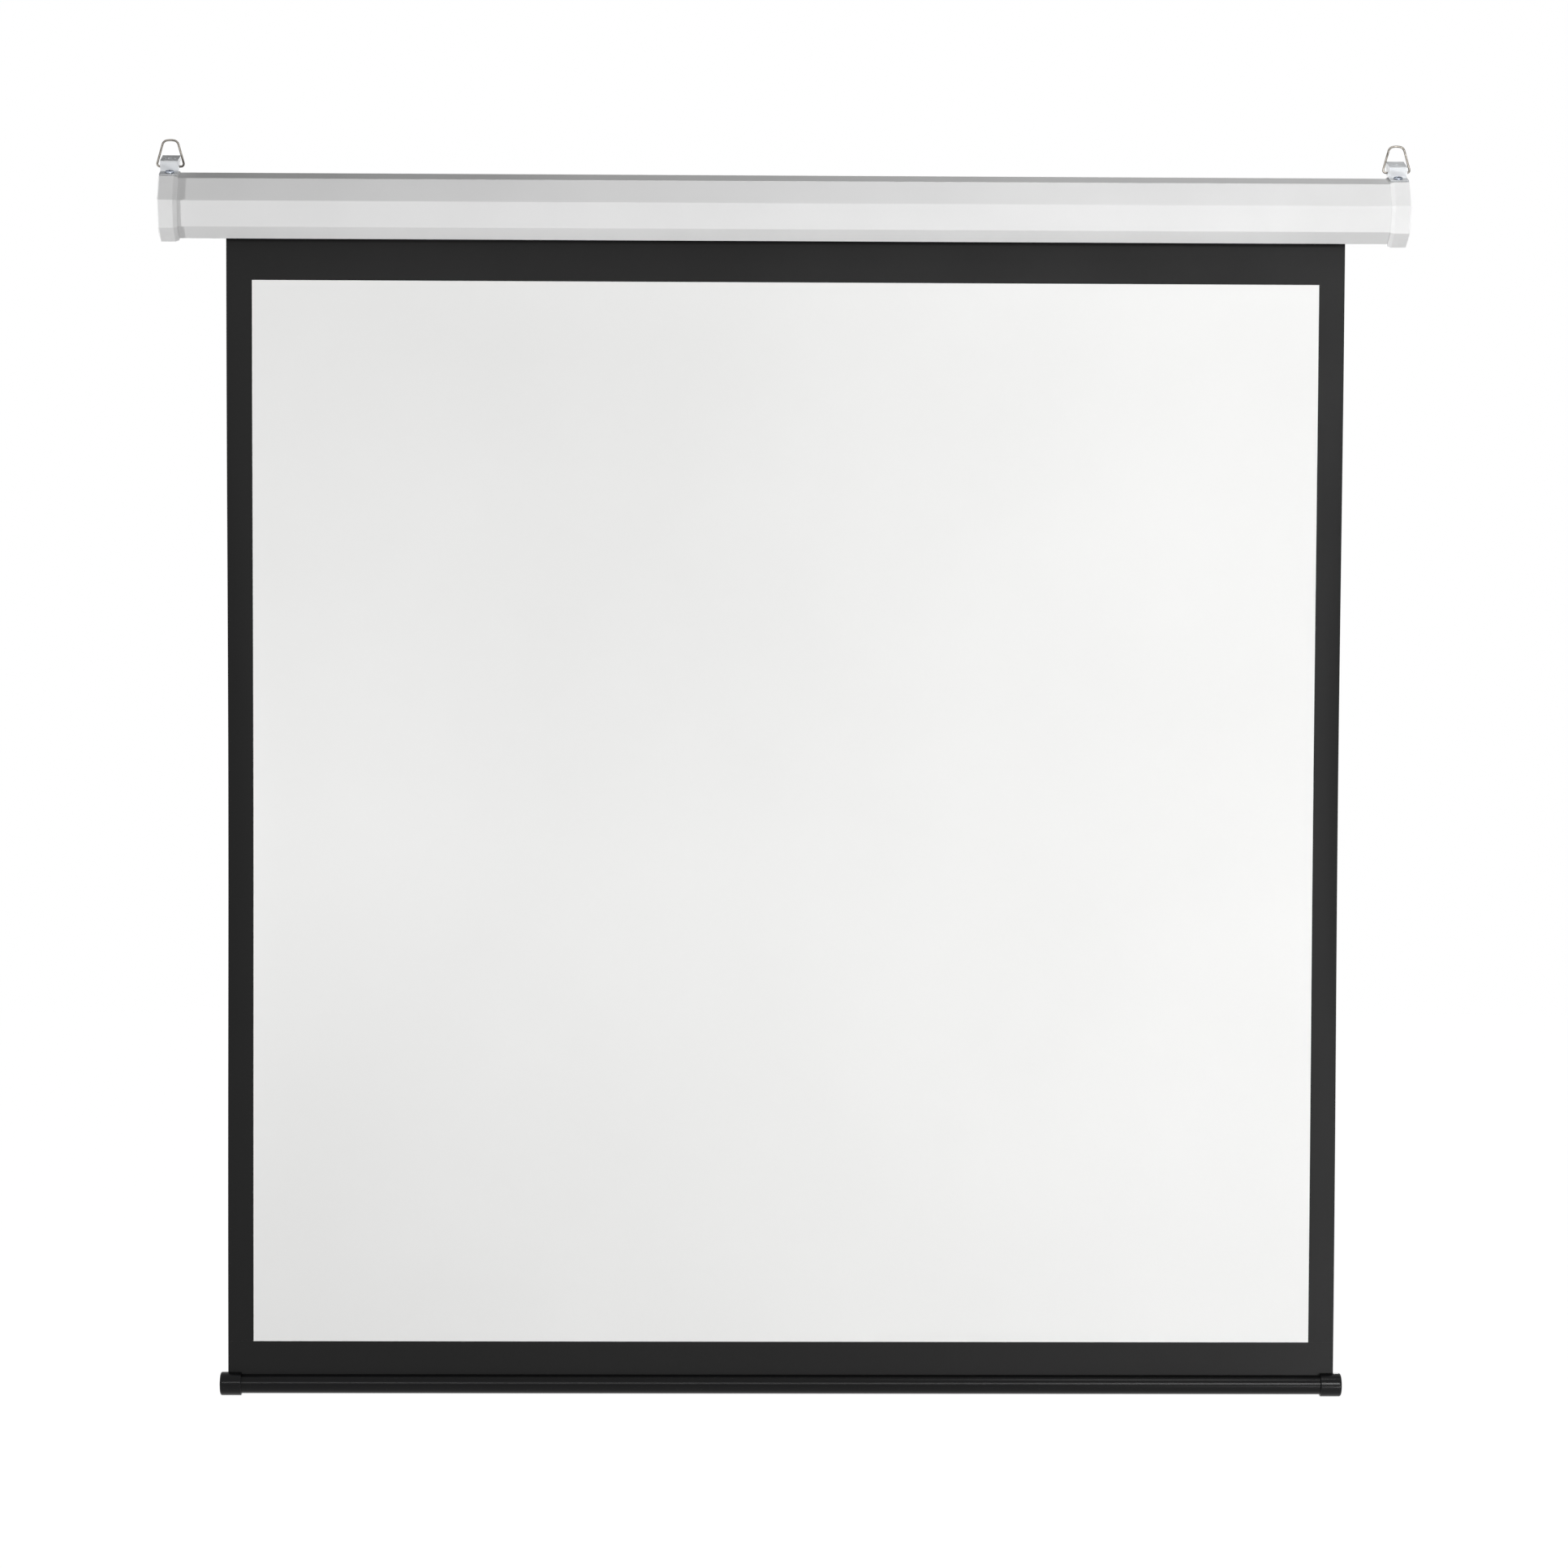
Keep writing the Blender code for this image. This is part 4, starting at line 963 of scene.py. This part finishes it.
    def build_hanging(self) -> None:
        """Builds the hanging sheet: black all over, with the white picture area on its front."""
        path = self.fall()
        outline = self.thick(path)
        grid = self.hung(self.columns(), outline)
        middle = self.columns()
        middle = (middle[1:] + middle[:-1]) / 2.0
        count = len(outline)
        heights = (outline[:, 1] + np.roll(outline[:, 1], -1)) / 2.0
        front = np.arange(count) < len(path) - 1
        in_view = front & (heights < self.view_top) & (heights > self.view_bottom)
        white = np.abs(middle)[:, None] < self.width / 2.0 - self.side_border
        chosen = (white & in_view[None, :]).astype(np.int32)
        made = piece("hanging_sheet", [grid], [SHEET_BLACK, SHEET_WHITE], sharp=50.0,
                     chosen=chosen)
        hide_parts("screen_sheet", "viewing_surface")
        self.build_foot()
        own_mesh(made)
        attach(made, "housing")

    def build_wound(self) -> None:
        """Builds the turns left on the roller: a spiral whose radius grows evenly with its turn."""
        share = np.linspace(0.0, 1.0, self.spiral_steps)
        turn = TAU * self.turns * (1.0 - share)
        radius = self.wound_start + (self.wound_end - self.wound_start) * share
        spiral = np.stack([self.axis_y + radius * np.cos(turn),
                           self.axis_z + radius * np.sin(turn)], axis=1)
        half = self.width / 2.0
        grid = along_x(self.thick(spiral),
                       self.middle_x + np.linspace(-half, half, self.wound_columns))
        made = piece("wound_turns", [grid], [SHEET_BLACK], sharp=50.0)
        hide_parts("wound_screen")
        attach(made, "roller")


@dataclass(frozen=True)
class WeightBar:
    """The round bar that keeps the sheet taut: a slotted tube with a cap on each end.

    Attributes:
        radius: Outer radius of the tube.
        wall: Its wall.
        slot: Width of the slot that the cloth goes through.
        half_length: Half the tube's length.
        middle: Middle of the tube's axis.
        cap_edge: Radius of the caps' edges.
        steps: Points round the tube.
        stations: Rows of points along it.
    """

    radius: float = 11.4 * MM
    wall: float = 1.2 * MM
    slot: float = 2.0 * MM
    half_length: float = 661.2 * MM
    middle: tuple = (3.0 * MM, 9.87 * MM, -1460.568 * MM)
    cap_edge: float = 0.35 * MM
    steps: int = 96
    stations: int = 25

    def build(self) -> None:
        """Builds the tube as an open arc with a wall, and dresses the caps."""
        gap = math.asin(self.slot / 2.0 / self.radius)
        turn = np.linspace(math.pi / 2.0 - gap, gap - 1.5 * math.pi, self.steps)
        arc = self.radius * np.stack([np.cos(turn), np.sin(turn)], axis=1)
        grid = along_x(closed_strip(arc, self.wall),
                       np.linspace(-self.half_length, self.half_length, self.stations))
        bar = piece("enamelled_bar", [grid + np.array(self.middle)], [BAR_BLACK], sharp=40.0)
        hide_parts("weight_bar")
        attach(bar, "bottom_bar")
        for word in ("left", "right"):
            cap = softened(f"bar_cap_{word}", f"moulded_bar_cap_{word}", BLACK_NYLON,
                           self.cap_edge)
            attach(cap, "bottom_bar")


@dataclass(frozen=True)
class Works:
    """The pieces inside the case and the bar, whose CAD shapes stay and get their finishes."""

    finishes: tuple = (
        ("cable_grommet", GROMMET_RUBBER), ("motor_plate", PLATE_ZINC),
        ("idler_plate", PLATE_ZINC), ("motor_head", GREY_NYLON), ("motor_body", MOTOR_STEEL),
        ("idler_pin", MOTOR_STEEL), ("roller_tube", TUBE_ALUMINIUM), ("motor_crown", BLACK_NYLON),
        ("motor_shaft", MOTOR_STEEL), ("drive_wheel", GREY_NYLON), ("idler_plug", GREY_NYLON),
        ("idler_bush", PALE_NYLON), ("hem_rod", MOTOR_STEEL))

    def dress(self) -> None:
        """Puts each finish on its node."""
        for node, finish in self.finishes:
            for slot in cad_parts[node].material_slots:
                slot.material = finish.material()


@dataclass(frozen=True)
class Lamp:
    """One lamp.

    Attributes:
        name: Its name.
        place: Middle of its face, in metres.
        aim: The point that it faces.
        width: Width of its face, in metres.
        height: Height of its face, in metres.
        power: Its power, in watts.
        spread: Spread of its beam, in degrees: below 180 it has a grid.
        glints: Whether it shows in reflections.
    """

    name: str
    place: tuple[float, float, float]
    aim: tuple[float, float, float]
    width: float
    height: float
    power: float
    spread: float = 180.0
    glints: bool = True

    def build(self) -> None:
        """Adds the area lamp, its face turned to what it aims at."""
        data = bpy.data.lights.new(self.name, "AREA")
        data.shape = "RECTANGLE"
        data.size = self.width
        data.size_y = self.height
        data.energy = self.power
        data.spread = math.radians(self.spread)
        lamp = bpy.data.objects.new(self.name, data)
        bpy.context.scene.collection.objects.link(lamp)
        lamp.location = self.place
        lamp.visible_glossy = self.glints
        aim = Vector(self.aim) - Vector(self.place)
        lamp.rotation_euler = aim.to_track_quat("-Z", "Y").to_euler()


@dataclass(frozen=True)
class Studio:
    """White room: pale floor, white background, soft lamps and the photograph's camera.

    Attributes:
        ambient: Strength of the plain light from all sides.
        floor_z: Height of the floor, in metres.
        floor_half: Half the floor's side, in metres.
        floor_points: Points along each side of the floor.
        floor_shade: How much of the light the floor throws back.
        camera_place: The camera's place, in metres.
        focal_px: Focal length, in pixels of the photograph.
        image_px: Side of the photograph, in pixels.
        sensor: Width of the camera's sensor, in millimetres.
        pitch: How far the camera looks down.
        yaw: How far it is turned to the right.
        roll: How far it is tilted.
        centre_px: The photograph's optical centre, in pixels.
        lamps: The lamps.
    """

    ambient: float = 0.04
    floor_z: float = -2.6
    floor_half: float = 15.0
    floor_points: int = 3
    floor_shade: float = 0.8
    camera_place: tuple = (-0.1268, -5.2381, -0.4674)
    focal_px: float = 5500.0
    image_px: float = 1932.0
    sensor: float = 36.0
    pitch: float = math.radians(2.931)
    yaw: float = math.radians(0.861)
    roll: float = math.radians(0.228)
    centre_px: tuple = (913.1, 953.5)
    lamps: tuple = (
        Lamp("gridded_key", (1.4, -4.5, 0.3), (1.0, 0.0, -0.75), 0.9, 0.9, 7.0, 60.0),
        Lamp("front_strip", (0.0, -4.6, 0.25), (0.3, 0.0, -0.75), 3.0, 0.3, 42.0),
        Lamp("above_near", (0.72, -1.0, 0.95), (0.5, 0.0, -0.1), 0.5, 0.5, 6.8),
        Lamp("low_right", (1.6, -2.6, -2.0), (0.4, 0.0, -0.3), 0.8, 0.5, 33.0),
        Lamp("left_wide", (-3.10, -0.66, -0.325), (-0.3, 0.0, -0.9), 0.06, 0.06, 19.5, 90.0, False),
        Lamp("right_fill", (3.2, 0.25, -0.12), (0.7, 0.0, -0.08), 0.5, 0.5, 3.0, 60.0, False),
        Lamp("back_fill", (0.3, 3.2, -0.1), (0.0, 0.0, -0.6), 2.0, 0.8, 50.0))

    def seen(self, tree: bpy.types.NodeTree) -> bpy.types.NodeSocket:
        """Gives 1 for a ray of the camera, a mirror or a glass, and 0 for scattered light.

        Args:
            tree: The node tree of the world or of a material.

        Returns:
            The socket that holds the value.
        """
        rays = add_node(tree, "ShaderNodeLightPath")
        either = add_node(tree, "ShaderNodeMath", {"operation": "MAXIMUM"},
                          {0: rays.outputs["Is Camera Ray"], 1: rays.outputs["Is Glossy Ray"]})
        return add_node(tree, "ShaderNodeMath", {"operation": "MAXIMUM"},
                        {0: either.outputs[0], 1: rays.outputs["Is Transmission Ray"]}).outputs[0]

    def build_world(self) -> None:
        """Makes the world white where it is seen, and a plain ambient light elsewhere."""
        world = bpy.data.worlds.new("white_room")
        bpy.context.scene.world = world
        world.use_nodes = True
        tree = world.node_tree
        tree.nodes.clear()
        strength = add_node(tree, "ShaderNodeMapRange", None,
                            {"Value": self.seen(tree), "To Min": self.ambient, "To Max": 1.0})
        back = add_node(tree, "ShaderNodeBackground", None,
                        {"Color": (1.0, 1.0, 1.0, 1.0), "Strength": strength.outputs[0]})
        add_node(tree, "ShaderNodeOutputWorld", None, {"Surface": back.outputs[0]})

    def build_floor(self) -> None:
        """Lays the pale floor; where it is seen it gets what the ambient light leaves to white."""
        count = self.floor_points
        line = np.linspace(-self.floor_half, self.floor_half, count)
        grid = np.stack([*np.meshgrid(line, line, indexing="ij"),
                         np.full((count, count), self.floor_z)], axis=2)
        mesh = bpy.data.meshes.new("studio_floor")
        number = np.arange(count ** 2).reshape(count, count)
        faces = np.stack([number[:-1, :-1], number[1:, :-1], number[1:, 1:], number[:-1, 1:]],
                         axis=2).reshape(-1, 4)
        mesh.from_pydata(grid.reshape(-1, 3).tolist(), [], faces.tolist())
        material = bpy.data.materials.new("pale_studio_floor")
        material.use_nodes = True
        tree = material.node_tree
        tree.nodes.clear()
        paint = add_node(tree, "ShaderNodeBsdfDiffuse", None,
                         {"Color": (*[self.floor_shade] * 3, 1.0)})
        lift = add_node(tree, "ShaderNodeMath", {"operation": "MULTIPLY"},
                        {0: self.seen(tree), 1: 1.0 - self.floor_shade * self.ambient})
        glow = add_node(tree, "ShaderNodeEmission", None,
                        {"Color": (1.0, 1.0, 1.0, 1.0), "Strength": lift.outputs[0]})
        both = add_node(tree, "ShaderNodeAddShader", None,
                        {0: paint.outputs[0], 1: glow.outputs[0]})
        add_node(tree, "ShaderNodeOutputMaterial", None, {"Surface": both.outputs[0]})
        mesh.materials.append(material)
        floor = bpy.data.objects.new("studio_floor", mesh)
        bpy.context.scene.collection.objects.link(floor)

    def build_camera(self) -> None:
        """Sets the camera by its yaw, pitch and roll, with the lens that fits the photograph."""
        ahead = Vector((math.sin(self.yaw) * math.cos(self.pitch),
                        math.cos(self.yaw) * math.cos(self.pitch), -math.sin(self.pitch)))
        level = Vector((math.cos(self.yaw), -math.sin(self.yaw), 0.0))
        above = level.cross(ahead)
        right = math.cos(self.roll) * level + math.sin(self.roll) * above
        up = math.cos(self.roll) * above - math.sin(self.roll) * level
        data = bpy.data.cameras.new("photo_camera")
        data.sensor_width = self.sensor
        data.lens = self.focal_px / self.image_px * self.sensor
        data.shift_x = 0.5 - self.centre_px[0] / self.image_px
        data.shift_y = self.centre_px[1] / self.image_px - 0.5
        data.clip_end = 100.0
        camera = bpy.data.objects.new("photo_camera", data)
        bpy.context.scene.collection.objects.link(camera)
        turn = Matrix((right, up, -ahead)).transposed().to_4x4()
        camera.matrix_world = Matrix.Translation(self.camera_place) @ turn
        bpy.context.scene.camera = camera

    def build(self) -> None:
        """Builds the whole studio."""
        bpy.context.scene.view_settings.view_transform = "Standard"
        self.build_world()
        self.build_floor()
        for lamp in self.lamps:
            lamp.build()
        self.build_camera()


def main() -> None:
    """Builds the screen and its studio in order, and reports each piece."""
    logging.basicConfig(level=logging.INFO, format="%(name)s: %(message)s")
    Case().build(CaseFrame())
    LOG.info("case")
    Ends().build()
    LOG.info("end caps, brackets and screws")
    for side, word in ((-1.0, "left"), (1.0, "right")):
        HangingRing().build(word, side)
    LOG.info("hanging rings")
    Sheet().build_hanging()
    Sheet().build_wound()
    LOG.info("sheet")
    WeightBar().build()
    LOG.info("weight bar")
    Works().dress()
    LOG.info("inner works")
    Studio().build()
    LOG.info("studio")


if __name__ == "__main__":
    main()
